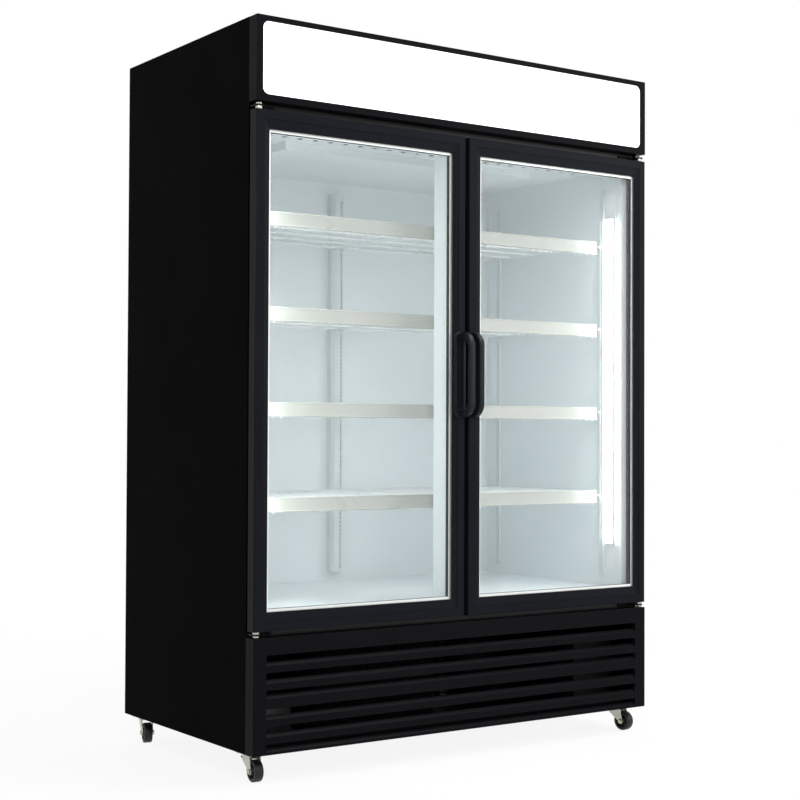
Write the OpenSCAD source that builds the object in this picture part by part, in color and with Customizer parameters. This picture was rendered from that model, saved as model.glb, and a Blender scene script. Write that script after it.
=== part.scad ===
// Upright freezer merchandiser with two glass doors, a lit header and four swivel casters.
// Millimetres. +Z is up, the doors face -Y, and the origin is on the floor under the middle.

/* [Cabinet] */
// Width over the side panels
body_w = 1380; // [1200:10:1500]
// Depth from the door fronts to the rear panel
body_d = 770; // [720:2:860]
// Height from the underside of the body to the roof
body_h = 1928; // [1860:2:2060]
// Thickness of the insulated walls
wall = 60; // [52:1:70]
// Thickness of the outer sheet
skin_t = 1.5; // [1:0.1:2]
// Thickness of the liner and ceiling sheet
liner_t = 1; // [0.8:0.1:1.5]
// How far the doors, header and grille stand in front of the side panels
front_proud = 40; // [40:1:48]
// Width of the folded returns along the side panels' edges
return_w = 15; // [10:1:25]
// Distance from the door fronts back to the liner
mouth_d = 112; // [100:1:120]
// Width of the post between the two doors
mullion_w = 72; // [60:1:84]
// Height of the evaporator compartment above the ceiling
evap_h = 208; // [195:1:230]
// How far the face frame hangs below the ceiling
ceiling_lip = 20; // [14:1:30]

/* [Header] */
// Height of the header sign box
header_h = 226; // [180:1:260]
// Width of the header frame beside the sign
header_side = 20; // [16:1:30]
// Width of the header frame above the sign
header_top = 15; // [10:1:30]
// Width of the header frame below the sign
header_foot = 19; // [10:1:30]
// Corner radius of the sign window
sign_r = 18; // [8:1:30]
// Thickness of the header frame's front lip
header_lip = 3; // [2:0.5:5]
// Thickness of the translucent sign
sign_t = 3; // [2:0.5:4]

/* [Doors] */
// Open gap between the header and the doors
top_gap = 21; // [20:1:30]
// Open gap between the doors and the grille
foot_gap = 16; // [15:1:26]
// Gap between the two doors
door_gap = 14; // [5:1:16]
// Width of a door's upright stiles
stile_w = 42; // [40:1:56]
// Height of a door's top and bottom rails
rail_w = 50; // [44:1:60]
// Depth of the door frame
frame_t = 32; // [31:1:34]
// Distance from the door front to the outer pane
glass_recess = 6.8; // [6:0.1:7.4]
// Thickness of one pane
pane_t = 4; // [3:0.5:4]
// Gap between two panes
pane_gap = 5; // [4:0.5:5]
// How far the spacer bars reach in past the door frame
spacer_show = 7; // [4:1:16]
// Width of the magnetic gasket
gasket_w = 18; // [16:1:22]
// Distance from a door's outer edge to its hinge axis
hinge_x = 14; // [12:1:15]
// Distance from the door front to the hinge axis
hinge_y = 12; // [11:1:14]
// Diameter of the hinge pins
pin_d = 10; // [8:1:12]
// How far a hinge pin reaches into its door
pin_in = 24; // [16:1:40]
// Radial running clearance of pins, axles and shafts
fit = 0.05; // [0.02:0.01:0.1]

/* [Handles] */
// Overall height of a handle
handle_l = 242; // [180:1:320]
// Height of a handle's middle above the underside of the body
handle_z = 1003; // [900:1:1100]
// How far a handle stands in front of its door
handle_reach = 50; // [42:1:60]
// Width of a handle
handle_w = 18; // [16:1:28]
// Thickness of the grip from front to back
grip_t = 32; // [14:1:34]
// Distance from a door's free edge to the middle of its handle
handle_inset = 10; // [10:1:20]

/* [Grille] */
// Height of the front grille
grille_h = 304; // [304:1:330]
// Width of the grille's plain side bands
grille_side = 40; // [30:1:60]
// Height of a tall air slot
slot_h = 18; // [14:0.5:22]
// Height of the short air slot under each pair
short_slot_h = 11.5; // [8:0.5:14]
// Height of a louvre slat
slat_h = 27.5; // [18:0.5:28]
// Height of the wide slat between the two groups of slots
wide_slat_h = 36.5; // [26:0.5:44]
// Height of the band under the last slot
grille_foot = 16.5; // [14:0.5:24]
// Bevel along the top of a slat
slat_bevel = 9; // [5:1:12]
// Sheet thickness of the grille
grille_t = 2; // [1.5:0.1:2.5]

/* [Shelves] */
// Number of shelves above the floor in each bay
shelf_count = 4; // [3:1:4]
// Height of the lowest shelf above the underside of the body
shelf_first = 658; // [600:1:700]
// Height from one shelf to the next
shelf_pitch = 259; // [220:1:262]
// Clearance between the shelves and the rear wall
shelf_back = 32; // [31:1:60]
// Diameter of a shelf's rim wire
rim_d = 7; // [5:0.5:9]
// Diameter of the cross rods under a shelf
rod_d = 6; // [4:0.5:7]
// Diameter of the fine wires on top of a shelf
wire_d = 4; // [3:0.5:5]
// Distance between two fine wires
wire_pitch = 25; // [22:1:40]
// Height of the price rail along a shelf's front
rail_h = 40; // [30:1:45]

/* [Lamps] */
// Gap between a lamp's top and the ceiling
lamp_head = 152; // [100:1:200]
// Height of a lamp's foot above the underside of the body
lamp_z = 495; // [460:1:520]
// Width of an interior lamp
lamp_w = 26; // [20:1:32]
// How far an interior lamp stands off its wall
lamp_t = 18; // [14:1:22]

/* [Casters] */
// Diameter of a caster wheel
wheel_d = 58; // [50:1:68]
// Width of a caster wheel
wheel_w = 25; // [20:1:28]
// Distance from a caster's swivel axis to its wheel axle
trail = 22; // [16:1:24]
// Distance from the cabinet's side to a swivel axis
caster_x = 40; // [38:1:80]
// Distance from the door fronts to the front swivel axes
caster_front = 76; // [74:1:110]
// Distance from the rear panel to the rear swivel axes
caster_rear = 62; // [44:1:100]

/* [Refrigeration] */
// Radius of the condenser fan
cond_fan_r = 112; // [90:1:116]
// Radius of the evaporator fans
evap_fan_r = 72; // [60:1:76]
// Number of blades on each fan
fan_blades = 5; // [3:1:7]
// Radius of the compressor shell
comp_r = 85; // [70:1:95]
// Height of the compressor shell
comp_h = 190; // [150:1:210]
// Radius of the copper lines
line_r = 5; // [3:0.5:6]

/* [Hidden] */
$fn = 48;

// Clearance between pieces of different bodies that nearly touch
skim = 0.3;
// How far a cutting tool runs past the faces that it cuts
past = 1;
// How far a screw head stands off its panel
screw_h = 1.6;

// Caster stack, from the wheel up to the underside of the body
plate_t = 3;
race_h = 6.5;
crown_t = 2.5;
rivet_h = 2.6;
wheel_clear = 4.1;
caster_h = wheel_d + wheel_clear + rivet_h + crown_t + race_h + plate_t + skim;
wheel_r = wheel_d / 2;
caster_turn = [-4, 8, -17, 8];
kingpin_r = 5;
axle_r = 4;
plate_x = 70;
plate_y = 58;
hole_x = 54;
hole_y = 42;
brake_y = 33 - trail;
brake_drop = 20;
brake_pin_r = 2.5;

// Depth and height are measured from the door fronts and from the underside of the body
y_front = (handle_reach - body_d - screw_h) / 2;
function yf(d) = y_front + d;
function zb(h) = caster_h + h;

header_rim = 10;
face_d = front_proud + skin_t;
back_d = body_d - 2 * skin_t;
inner_back = body_d - wall;
inner_top = body_h - wall;
floor_z = grille_h + wall;
ceiling_z = inner_top - evap_h;
half_in = body_w / 2 - wall;
half_foam = half_in + liner_t;
half_shell = body_w / 2 - skin_t;

// Doors
door_w = (body_w - door_gap) / 2;
door_z = grille_h + foot_gap;
door_h = body_h - header_h - top_gap - door_z;
glass_back = glass_recess + 3 * pane_t + 2 * pane_gap;
glass_hold = 12;
glass_x = stile_w - glass_hold;
glass_z = rail_w - glass_hold;
lip_tip = 2.4;
edge_round = 2;
step_u = 24;
step_v = 1.5;
mitre_u = step_u + 3;
back_lip = 4;
dart_u = 22;
dart_w = 4;
dart_d = 4;
gasket_u = hinge_x + 2;
gasket_t = face_d - skim - frame_t;
function door_profile(w) = [
    [edge_round, 0], [0, edge_round], [0, step_u], [step_v, step_u], [step_v, mitre_u],
    [glass_recess - skim - lip_tip, w], [glass_recess - skim, w],
    [glass_recess - skim, w - glass_hold - 1], [glass_back + skim, w - glass_hold - 1],
    [glass_back + skim, w - back_lip], [frame_t, w - back_lip],
    [frame_t, dart_u + dart_w], [frame_t - dart_d, dart_u + dart_w],
    [frame_t - dart_d, dart_u], [frame_t, dart_u], [frame_t, 0]];
bellows = 2.5;
gasket_profile = [
    [frame_t, gasket_u], [frame_t, dart_u + skim], [frame_t - dart_d + skim, dart_u + skim],
    [frame_t - dart_d + skim, dart_u + dart_w - skim], [frame_t, dart_u + dart_w - skim],
    [frame_t, gasket_u + gasket_w], [frame_t + 0.25 * gasket_t, gasket_u + gasket_w],
    [frame_t + 0.4 * gasket_t, gasket_u + gasket_w - bellows],
    [frame_t + 0.55 * gasket_t, gasket_u + gasket_w], [frame_t + gasket_t, gasket_u + gasket_w],
    [frame_t + gasket_t, gasket_u], [frame_t + 0.55 * gasket_t, gasket_u],
    [frame_t + 0.4 * gasket_t, gasket_u + bellows], [frame_t + 0.25 * gasket_t, gasket_u]];

// Mitre between bars of two widths, as points [along the bar, in from its outer edge]
function mitre(run, u) = [
    [-past, -past], [mitre_u, mitre_u],
    [run + past * (run - mitre_u) / (u - mitre_u), u + past]];
gasket_edge = gasket_u + gasket_w + past;
gasket_mitre = [[-past, -past], [gasket_edge, gasket_edge]];

// Hinges
pin_r = pin_d / 2;
bracket_t = 4;
bracket_l = 60;
bracket_w = 24;
bracket_z = 12;
shoulder_r = 9;
hinge_levels = [zb(grille_h + foot_gap / 2), zb(body_h - header_h - top_gap / 2)];

// Shelves
weld = 0.4;
shelf_gap = 8;
shelf_x0 = half_in - shelf_gap;
shelf_w = shelf_x0 - 4;
shelf_front = mouth_d + 22;
shelf_d = inner_back - shelf_back - shelf_front;
rim_drop = wire_d - weld + rim_d;
pilaster_t = 6;
pilaster_w = 18;
slot_pitch = shelf_pitch / 20;
post_w = 44;
post_t = 24;
rail_t = 5;

// Interior lamps
lamp_l = ceiling_z - lamp_head - lamp_z;
lamp_plate = 1.5;
lamp_back = 6.5;
lamp_cap = 4;

// Positions of the side-wall pilasters behind the door fronts
pilaster_front = mouth_d + 15;
pilaster_rear = inner_back - shelf_back - 32;
pilaster_z0 = floor_z + 30;
pilaster_l = ceiling_z - 60 - pilaster_z0;

// Machine compartment
deck_z = grille_h - skin_t;
tray_t = 2;
coil_t = 60;
cond_w = 400;
cond_x = 375 - half_in;
cond_z0 = 22;
cond_h = 262;
cond_front = face_d + 40;
shroud_d = 62;
bend_z0 = 22;
bend_pitch = 42;
cond_fan_z = cond_z0 + cond_h / 2;
comp_x = half_in - 295;
comp_d = back_d - 331;
comp_foot_h = 18;
comp_base_t = 3;
comp_z0 = tray_t + comp_foot_h + comp_base_t;
shaft_radius = 4;
pan_drop = 22;
pan_z = ceiling_z - pan_drop;
evap_coil_w = 820;
evap_coil_h = 180;
evap_coil_t = 170;
evap_coil_d0 = inner_back - 54 - evap_coil_t;
pan_half = evap_coil_w / 2 + 36;
pan_front = evap_coil_d0 - 222;
evap_fan_x = evap_coil_w / 2 - 180;
evap_fan_d = evap_coil_d0 - 100;
evap_fan_z = pan_z + liner_t + 100;
line_d = body_d - 31;
line_z = zb(pan_z + 120);
suction_x = comp_x + 40;

// ---------- shared shapes ----------

// A straight bar with mitred ends: points are [depth, distance in from the outer edge]
module mitred_bar(span, profile, cut) {
    gap = 0.1;
    last = len(cut) - 1;
    near = [for (p = cut) [gap + p.x, p.y]];
    far = [for (i = [last : -1 : 0]) [span - gap - cut[i].x, cut[i].y]];
    intersection() {
        rotate([90, 0, 90]) linear_extrude(span) polygon(profile);
        translate([0, 2 * frame_t, 0])
            rotate([90, 0, 0]) linear_extrude(3 * frame_t) polygon(concat(near, far));
    }
}

// Four mitred bars round a rectangle whose lower left corner is at the origin; each kind of bar
// is a pair of its profile and its mitre
module mitred_frame(w, h, rail, stile) {
    mitred_bar(w, rail[0], rail[1]);
    translate([w, 0, 0]) rotate([0, -90, 0]) mitred_bar(h, stile[0], stile[1]);
    translate([w, 0, h]) rotate([0, 180, 0]) mitred_bar(w, rail[0], rail[1]);
    translate([0, 0, h]) rotate([0, 90, 0]) mitred_bar(h, stile[0], stile[1]);
}

module rounded_rect(w, h, r) {
    translate([r, 0]) square([w - 2 * r, h]);
    translate([0, r]) square([w, h - 2 * r]);
    for (x = [r, w - r], y = [r, h - r])
        translate([x, y]) circle(r);
}

// A box from one corner to the other
module block(lo, hi) {
    translate(lo) cube(hi - lo);
}

module both_sides() {
    children();
    mirror([1, 0, 0]) children();
}

// An eight-sided wire of true thickness d across its flats, along +X
module wire(d, len) {
    rotate([0, 90, 0]) rotate([0, 0, 22.5]) cylinder(r = d / 2 / cos(22.5), h = len, $fn = 8);
}

// A finned block: a solid core sheet with fins above and below it, all in one outline
module fin_block(w, d, h, pitch) {
    count = floor(w / pitch);
    core = 8;
    translate([0, d, 0])
        rotate([90, 0, 0])
            linear_extrude(d) {
                translate([0, h / 2 - core / 2]) square([w, core]);
                for (i = [0 : count - 1])
                    translate([i * pitch, 0]) square([2, h]);
                translate([w - 2, 0]) square([2, h]);
            }
}

// Return bends on a coil's end: half rings that stand off the end plate
module return_bends(count, tube_r) {
    for (i = [0 : count - 1])
        translate([0, 0, i * bend_pitch])
            rotate([90, 0, 0])
                rotate([0, 0, -90])
                    rotate_extrude(angle = 180) translate([bend_pitch / 4, 0]) circle(tube_r);
}

// An axial fan round the Y axis, with a bore for its shaft
module axial_fan(r) {
    hub_r = 0.28 * r;
    depth = 0.33 * r;
    difference() {
        union() {
            rotate([90, 0, 0]) cylinder(r = hub_r, h = depth, center = true);
            intersection() {
                rotate([90, 0, 0]) cylinder(r = r, h = depth, center = true);
                for (i = [0 : fan_blades - 1])
                    rotate([0, i * 360 / fan_blades, 0])
                        rotate([0, 0, 32])
                            translate([-0.32 * r, -1.5, 0.6 * hub_r])
                                cube([0.64 * r, 3, r]);
            }
        }
        rotate([90, 0, 0]) cylinder(r = shaft_radius + fit, h = depth + 2 * past, center = true);
    }
}

// ---------- cabinet ----------

module side_panel() {
    x0 = -body_w / 2;
    block([x0, yf(front_proud), zb(0)], [x0 + skin_t, yf(body_d - skin_t), zb(body_h - skin_t)]);
    block([x0, yf(front_proud), zb(0)], [x0 + return_w, yf(face_d), zb(body_h - skin_t)]);
    block([x0, yf(back_d), zb(0)], [x0 + return_w, yf(back_d + skin_t), zb(body_h - skin_t)]);
}

module left_side_panel() {
    color("#0b0b0c") side_panel();
}

module right_side_panel() {
    color("#0b0b0c") mirror([1, 0, 0]) side_panel();
}

module rear_panel() {
    rib_w = 60;
    rib_t = 3;
    color("#9a9c9e") {
        difference() {
            block([-body_w / 2, yf(body_d - skin_t), zb(grille_h)],
                [body_w / 2, yf(body_d), zb(body_h - skin_t)]);
            for (x = [-body_w / 4, body_w / 4])
                translate([x - rib_w / 2, yf(body_d) - 0.6, zb(grille_h + 120)])
                    cube([rib_w, rib_t, body_h - grille_h - 240]);
        }
    }
}

module roof_panel() {
    color("#0b0b0c")
        block([-body_w / 2, yf(front_proud), zb(body_h - skin_t)], [body_w / 2, yf(body_d), zb(body_h)]);
}

// Welded base: floor tray, four corner angles and the deck that carries the insulated box
module base_frame() {
    angle_w = 40;
    color("#3a3c3e")
        difference() {
            union() {
                block([-half_shell, yf(face_d), zb(0)], [half_shell, yf(back_d), zb(tray_t)]);
                block([-half_shell, yf(face_d), zb(0)], [half_shell, yf(face_d + tray_t), zb(tray_t + 16)]);
                block([-half_shell, yf(back_d - tray_t), zb(0)], [half_shell, yf(back_d), zb(25)]);
                block([-half_shell, yf(face_d), zb(deck_z)], [half_shell, yf(back_d), zb(grille_h)]);
                both_sides()
                    for (d = [face_d, back_d - angle_w]) {
                        y = d == face_d ? d : back_d - tray_t;
                        block([-half_shell, yf(d), zb(0)],
                            [-half_shell + tray_t, yf(d + angle_w), zb(deck_z + 1)]);
                        block([-half_shell, yf(y), zb(0)],
                            [-half_shell + angle_w, yf(y + tray_t), zb(deck_z + 1)]);
                    }
            }
            translate([suction_x, yf(line_d), zb(deck_z - past)])
                cylinder(r = line_r + 1, h = skin_t + 2 * past);
        }
}

module foam_walls() {
    z1 = zb(body_h - skin_t);
    color("#e6dcae") {
        both_sides() block([-half_shell, yf(mouth_d), zb(grille_h)], [-half_foam, yf(back_d), z1]);
        difference() {
            block([-half_foam, yf(inner_back + liner_t), zb(grille_h)], [half_foam, yf(back_d), z1]);
            translate([suction_x, yf(line_d), zb(grille_h - past)])
                cylinder(r = line_r + 1, h = line_z - zb(grille_h) + past + 8);
            translate([suction_x, yf(line_d), line_z]) rotate([90, 0, 0]) cylinder(r = line_r + 1, h = 60);
            translate([suction_x, yf(line_d), line_z]) sphere(r = line_r + 2.5);
        }
        for (z = [[zb(grille_h), zb(floor_z - liner_t)], [zb(inner_top + liner_t), z1]])
            block([-half_foam, yf(mouth_d), z[0]], [half_foam, yf(inner_back + liner_t), z[1]]);
    }
}

module inner_liner() {
    color("#e4eaea")
        difference() {
            block([-half_foam, yf(mouth_d), zb(floor_z - liner_t)],
                [half_foam, yf(inner_back + liner_t), zb(inner_top + liner_t)]);
            block([-half_in, yf(mouth_d - past), zb(floor_z)], [half_in, yf(inner_back), zb(inner_top)]);
            translate([suction_x, yf(inner_back + liner_t + past), line_z])
                rotate([90, 0, 0]) cylinder(r = line_r + 1, h = 2 * past + 2 * liner_t);
        }
}

module face_frame() {
    color("#d9dfdf")
        difference() {
            block([-half_shell, yf(face_d), zb(grille_h)], [half_shell, yf(mouth_d), zb(body_h - skin_t)]);
            block([-half_in, yf(face_d - past), zb(floor_z)],
                [half_in, yf(mouth_d + past), zb(ceiling_z - ceiling_lip)]);
        }
}

module centre_mullion() {
    color("#d9dfdf")
        block([-mullion_w / 2, yf(face_d), zb(floor_z)],
            [mullion_w / 2, yf(mouth_d), zb(ceiling_z - ceiling_lip)]);
}

// ---------- header ----------

module header_frame() {
    sign_w = body_w - 2 * header_side;
    sign_h = header_h - header_top - header_foot;
    color("#101012")
        translate([-body_w / 2, yf(0), zb(body_h - header_h)])
            difference() {
                translate([0, front_proud, 0])
                    rotate([90, 0, 0])
                        linear_extrude(front_proud) rounded_rect(body_w, header_h, edge_round);
                translate([header_rim, header_lip, header_rim])
                    cube([body_w - 2 * header_rim, front_proud, header_h - 2 * header_rim]);
                translate([header_side, header_lip + past, header_foot])
                    rotate([90, 0, 0])
                        linear_extrude(header_lip + 2 * past) rounded_rect(sign_w, sign_h, sign_r);
            }
}

module header_sign() {
    rim = header_rim + 0.5;
    color("white")
        translate([-body_w / 2 + rim, yf(header_lip), zb(body_h - header_h) + rim])
            cube([body_w - 2 * rim, sign_t, header_h - 2 * rim]);
}

module header_lamps() {
    base_t = 8;
    bulb_r = 8;
    run = body_w - 160;
    color("#f2f2ee")
        for (h = [header_h / 3, header_h * 2 / 3])
            translate([-run / 2, yf(face_d), zb(body_h - header_h + h)]) {
                translate([0, -base_t, -12]) cube([run, base_t, 24]);
                translate([10, -base_t, 0])
                    intersection() {
                        rotate([0, 90, 0]) cylinder(r = bulb_r, h = run - 20);
                        translate([-past, -bulb_r - past, -bulb_r - past])
                            cube([run, bulb_r + past, 2 * bulb_r + 2 * past]);
                    }
            }
}

// ---------- grille ----------

// Folded louvre slat along +X, with a bevelled top that leans back and a return at its foot
module louvre(len, h, deep) {
    t = grille_t;
    b = slat_bevel;
    m = 0.414 * t;
    rotate([90, 0, 90])
        linear_extrude(len)
            polygon([[0, 0], [0, h - b], [b, h], [deep, h], [deep, h - t], [b + m, h - t],
                [t, h - b - m], [t, t], [deep, t], [deep, 0]]);
}

module front_grille() {
    deep = 16;
    t = grille_t;
    fold = deep + 2;
    slat_x = grille_side - t / 2;
    slat_w = body_w - 2 * slat_x;
    top_z = grille_foot + 2 * (2 * slot_h + short_slot_h + 2 * slat_h) + wide_slat_h;
    lower_z = grille_foot + 2 * slot_h + short_slot_h + 2 * slat_h;
    color("#131316")
        translate([-body_w / 2, yf(0), zb(0)]) {
            linear_extrude(grille_h)
                for (m = [0, 1])
                    translate([m * body_w, 0])
                        mirror([m, 0])
                            polygon([[0, 0], [grille_side, 0], [grille_side, fold], [grille_side - t, fold],
                                [grille_side - t, t], [t, t], [t, front_proud], [0, front_proud]]);
            translate([slat_x, 0, top_z])
                cube([slat_w, t, grille_h - top_z]);
            translate([slat_x, 0, top_z]) cube([slat_w, deep, t]);
            translate([0, 0, grille_h - t]) cube([body_w, front_proud, t]);
            cube([body_w, front_proud, t]);
            translate([slat_x, 0, 0]) louvre(slat_w, grille_foot, deep);
            for (z = [grille_foot, lower_z + wide_slat_h], step = [0, slat_h + slot_h])
                translate([slat_x, 0, z + short_slot_h + step]) louvre(slat_w, slat_h, deep);
            translate([slat_x, 0, lower_z]) louvre(slat_w, wide_slat_h, deep);
        }
}

// ---------- rear and machine compartment ----------

// Places its children at each louvre in the rear panel
module louvre_places(w, rows, columns) {
    row_pitch = 30;
    column_pitch = (body_w - 160) / columns;
    x0 = -(columns - 1) / 2 * column_pitch - w / 2;
    for (c = [0 : columns - 1], r = [0 : rows - 1])
        translate([x0 + c * column_pitch, yf(body_d - skin_t), zb(50 + r * row_pitch)]) children();
}

module rear_louvre_panel() {
    w = 150;
    h = 12;
    hood = 10;
    color("#9a9c9e") {
        difference() {
            block([-body_w / 2, yf(body_d - skin_t), zb(0)], [body_w / 2, yf(body_d), zb(grille_h)]);
            louvre_places(w, 7, 5) translate([0, -past, 0]) cube([w, skin_t + 2 * past, h]);
        }
        louvre_places(w, 7, 5)
            rotate([90, 0, 90])
                linear_extrude(w)
                    polygon([[0.5, h - 0.5], [0.5, h + 1], [0, h + 1],
                        [-hood, 3.5], [-hood, 2], [0, h - 0.5]]);
    }
}

module compressor() {
    foot_r = 12;
    dome = 40;
    seam = 4;
    color("#1c1d1f")
        translate([comp_x, yf(comp_d), zb(0)]) {
            translate([0, 0, comp_z0])
                rotate_extrude()
                    intersection() {
                        square([comp_r + seam, comp_h]);
                        union() {
                            square([comp_r - dome, comp_h]);
                            translate([0, dome]) square([comp_r, comp_h - 2 * dome]);
                            translate([0, comp_h / 2 - 3]) square([comp_r + seam, 6]);
                            for (z = [dome, comp_h - dome])
                                translate([comp_r - dome, z]) circle(dome);
                        }
                    }
            translate([-comp_r - 15, -60, comp_z0 - comp_base_t]) cube([2 * comp_r + 30, 120, comp_base_t]);
            for (x = [-comp_r, comp_r], y = [-45, 45])
                translate([x, y, tray_t]) cylinder(r = foot_r, h = comp_foot_h);
        }
}

module condenser_coil() {
    color("#8d6a4f")
        translate([cond_x - cond_w / 2, yf(cond_front), zb(cond_z0)]) {
            fin_block(cond_w, coil_t, cond_h, 8);
            for (x = [0, cond_w - 2]) block([x, 0, -cond_z0 + tray_t], [x + 2, coil_t, 0.5]);
            translate([cond_w - 0.5, coil_t / 2, bend_z0]) return_bends(6, 4);
            mirror([1, 0, 0]) translate([-0.5, coil_t / 2, bend_z0]) return_bends(6, 4);
        }
}

module condenser_shroud() {
    t = skin_t;
    lo = [cond_x - cond_w / 2, yf(cond_front + coil_t), zb(cond_z0)];
    color("#2b2d30")
        difference() {
            translate(lo) cube([cond_w, shroud_d, cond_h]);
            translate(lo + [t, -past, t]) cube([cond_w - 2 * t, shroud_d - t + past, cond_h - 2 * t]);
            translate([cond_x, lo.y + shroud_d + past, zb(cond_fan_z)])
                rotate([90, 0, 0]) cylinder(r = cond_fan_r + 4, h = 10);
        }
}

module drain_pan() {
    w = 340;
    deep = 120;
    h = 60;
    sheet = 1.5;
    color("#3b3d40")
        translate([comp_x - 390, yf(back_d - deep - 41), zb(tray_t)])
            difference() {
                cube([w, deep, h]);
                translate([sheet, sheet, sheet]) cube([w - 2 * sheet, deep - 2 * sheet, h]);
            }
}

// Copper tube through a list of points, with a swaged joint at each bend
module tube(points) {
    for (i = [0 : len(points) - 2]) {
        a = points[i];
        b = points[i + 1];
        run = b - a;
        l = norm(run);
        translate(a)
            rotate([0, acos(run.z / l), atan2(run.y, run.x)])
                cylinder(r = line_r, h = l);
    }
    for (i = [1 : len(points) - 2]) translate(points[i]) sphere(r = line_r + 1.2);
}

module refrigerant_lines() {
    shell_top = zb(comp_z0 + comp_h);
    coil_end = cond_x + cond_w / 2;
    coil_mid = yf(cond_front + coil_t / 2);
    run_z = zb(deck_z - 24);
    entry_z = zb(cond_z0 + bend_z0 + bend_pitch / 2);
    color("#b4693c") {
        tube([[comp_x - 30, yf(comp_d), shell_top], [comp_x - 30, yf(comp_d), run_z],
            [comp_x - 30, coil_mid, run_z], [coil_end + 40, coil_mid, run_z],
            [coil_end + 40, coil_mid, entry_z], [coil_end, coil_mid, entry_z]]);
        tube([[suction_x, yf(comp_d), shell_top], [suction_x, yf(comp_d), run_z],
            [suction_x, yf(line_d), run_z], [suction_x, yf(line_d), line_z],
            [suction_x, yf(evap_coil_d0 + evap_coil_t), line_z]]);
    }
}

module control_box() {
    w = 150;
    deep = 90;
    h = 200;
    sheet = 2;
    color("#2f3235")
        translate([half_shell - w - 60, yf(face_d + 48), zb(tray_t)]) {
            difference() {
                cube([w, deep, h]);
                translate([sheet, sheet, sheet]) cube([w - 2 * sheet, deep - 2 * sheet, h - 2 * sheet]);
            }
            translate([-sheet, -sheet, h - 4]) cube([w + 2 * sheet, deep + 2 * sheet, 6]);
        }
}

// ---------- evaporator ----------

module evaporator_cover() {
    slots = 24;
    slot_w = 16;
    pitch = 2 * half_in / (slots + 1);
    color("#eef2f2")
        difference() {
            union() {
                block([-half_in, yf(mouth_d), zb(ceiling_z)],
                    [half_in, yf(inner_back), zb(ceiling_z + liner_t)]);
                block([-pan_half, yf(pan_front), zb(pan_z)],
                    [pan_half, yf(inner_back), zb(ceiling_z + liner_t)]);
            }
            block([-pan_half + liner_t, yf(pan_front + liner_t), zb(pan_z + liner_t)],
                [pan_half - liner_t, yf(inner_back - liner_t), zb(ceiling_z + liner_t + past)]);
            for (i = [1 : slots])
                translate([-half_in + i * pitch - slot_w / 2, yf(mouth_d + 40), zb(ceiling_z - past)])
                    cube([slot_w, 70, liner_t + 2 * past]);
        }
}

module evaporator_coil() {
    foot = 12;
    color("#b9bec2")
        translate([-evap_coil_w / 2, yf(evap_coil_d0), zb(pan_z + liner_t)]) {
            translate([0, 0, foot]) fin_block(evap_coil_w, evap_coil_t, evap_coil_h, 12);
            for (x = [0, evap_coil_w - 2]) block([x, 0, 0], [x + 2, evap_coil_t, foot + 0.5]);
            for (y = [evap_coil_t / 3, evap_coil_t * 2 / 3]) {
                translate([evap_coil_w - 0.5, y, foot + bend_z0]) return_bends(4, 5);
                mirror([1, 0, 0]) translate([-0.5, y, foot + bend_z0]) return_bends(4, 5);
            }
        }
}

// Motor on a flat bar that spans its fan's opening, with its shaft pointing to -Y
module motor(r, l, span, stand, shaft_l) {
    bar_t = 3;
    rotate([90, 0, 0]) {
        translate([0, 0, -l - bar_t]) cylinder(r = r, h = l);
        translate([0, 0, -l - bar_t - 6]) cylinder(r = 0.5 * r, h = 6 + past);
        translate([0, 0, -bar_t]) cylinder(r = shaft_radius, h = shaft_l);
    }
    translate([-span, 0, -12]) cube([2 * span, bar_t, 24]);
    both_sides() translate([-span, -stand, -12]) cube([8, stand + 1, 24]);
}

module fan_motors() {
    plate = 2 * evap_fan_r + 46;
    color("#4a4d50") {
        translate([cond_x, yf(cond_front + coil_t + shroud_d + 30), zb(cond_fan_z)])
            motor(38, 60, cond_fan_r + 18, 30, 45);
        for (s = [-1, 1])
            translate([s * evap_fan_x, yf(evap_fan_d), zb(evap_fan_z)]) {
                difference() {
                    translate([-plate / 2, 0, -(evap_fan_z - pan_z - liner_t)])
                        cube([plate, skin_t, plate]);
                    rotate([90, 0, 0]) cylinder(r = evap_fan_r + 4, h = 10, center = true);
                }
                translate([0, skin_t + 24, 0]) motor(26, 34, evap_fan_r + 14, 24, 42);
            }
    }
}

module condenser_fan() {
    color("#24262a")
        translate([cond_x, yf(cond_front + coil_t + shroud_d), zb(cond_fan_z)])
            axial_fan(cond_fan_r);
}

module evaporator_fan() {
    translate([-evap_fan_x, yf(evap_fan_d), zb(evap_fan_z)]) axial_fan(evap_fan_r);
}

module left_evaporator_fan() {
    color("#24262a") evaporator_fan();
}

module right_evaporator_fan() {
    color("#24262a") translate([2 * evap_fan_x, 0, 0]) evaporator_fan();
}

// ---------- shelves ----------

function shelf_top(level) = zb(shelf_first + (level - 1) * shelf_pitch);

// Slotted channel that stands on the XZ plane, faces -Y and is centred on X = 0
module pilaster(w, deep, columns) {
    sheet = 1.2;
    slots = floor((pilaster_l - 20) / slot_pitch);
    rotate([90, 0, 0])
        translate([0, 0, deep - sheet])
            linear_extrude(sheet)
                difference() {
                    translate([-w / 2, 0]) square([w, pilaster_l]);
                    for (x = columns, i = [0 : slots - 1])
                        translate([x - 2, 12 + i * slot_pitch]) square([4, 7]);
                }
    for (x = [-w / 2, w / 2 - sheet])
        translate([x, -deep, 0]) cube([sheet, deep, pilaster_l]);
}

module shelf_pilasters() {
    z = zb(pilaster_z0);
    color("#dfe5e5") {
        both_sides()
            for (d = [pilaster_front, pilaster_rear])
                translate([-half_in, yf(d), z]) rotate([0, 0, 90]) pilaster(pilaster_w, pilaster_t, [0]);
        translate([0, yf(inner_back), z]) pilaster(post_w, post_t, [-14, 14]);
        translate([0, yf(mouth_d), z]) rotate([0, 0, 180]) pilaster(post_w, pilaster_t, [-14, 14]);
    }
}

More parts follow.
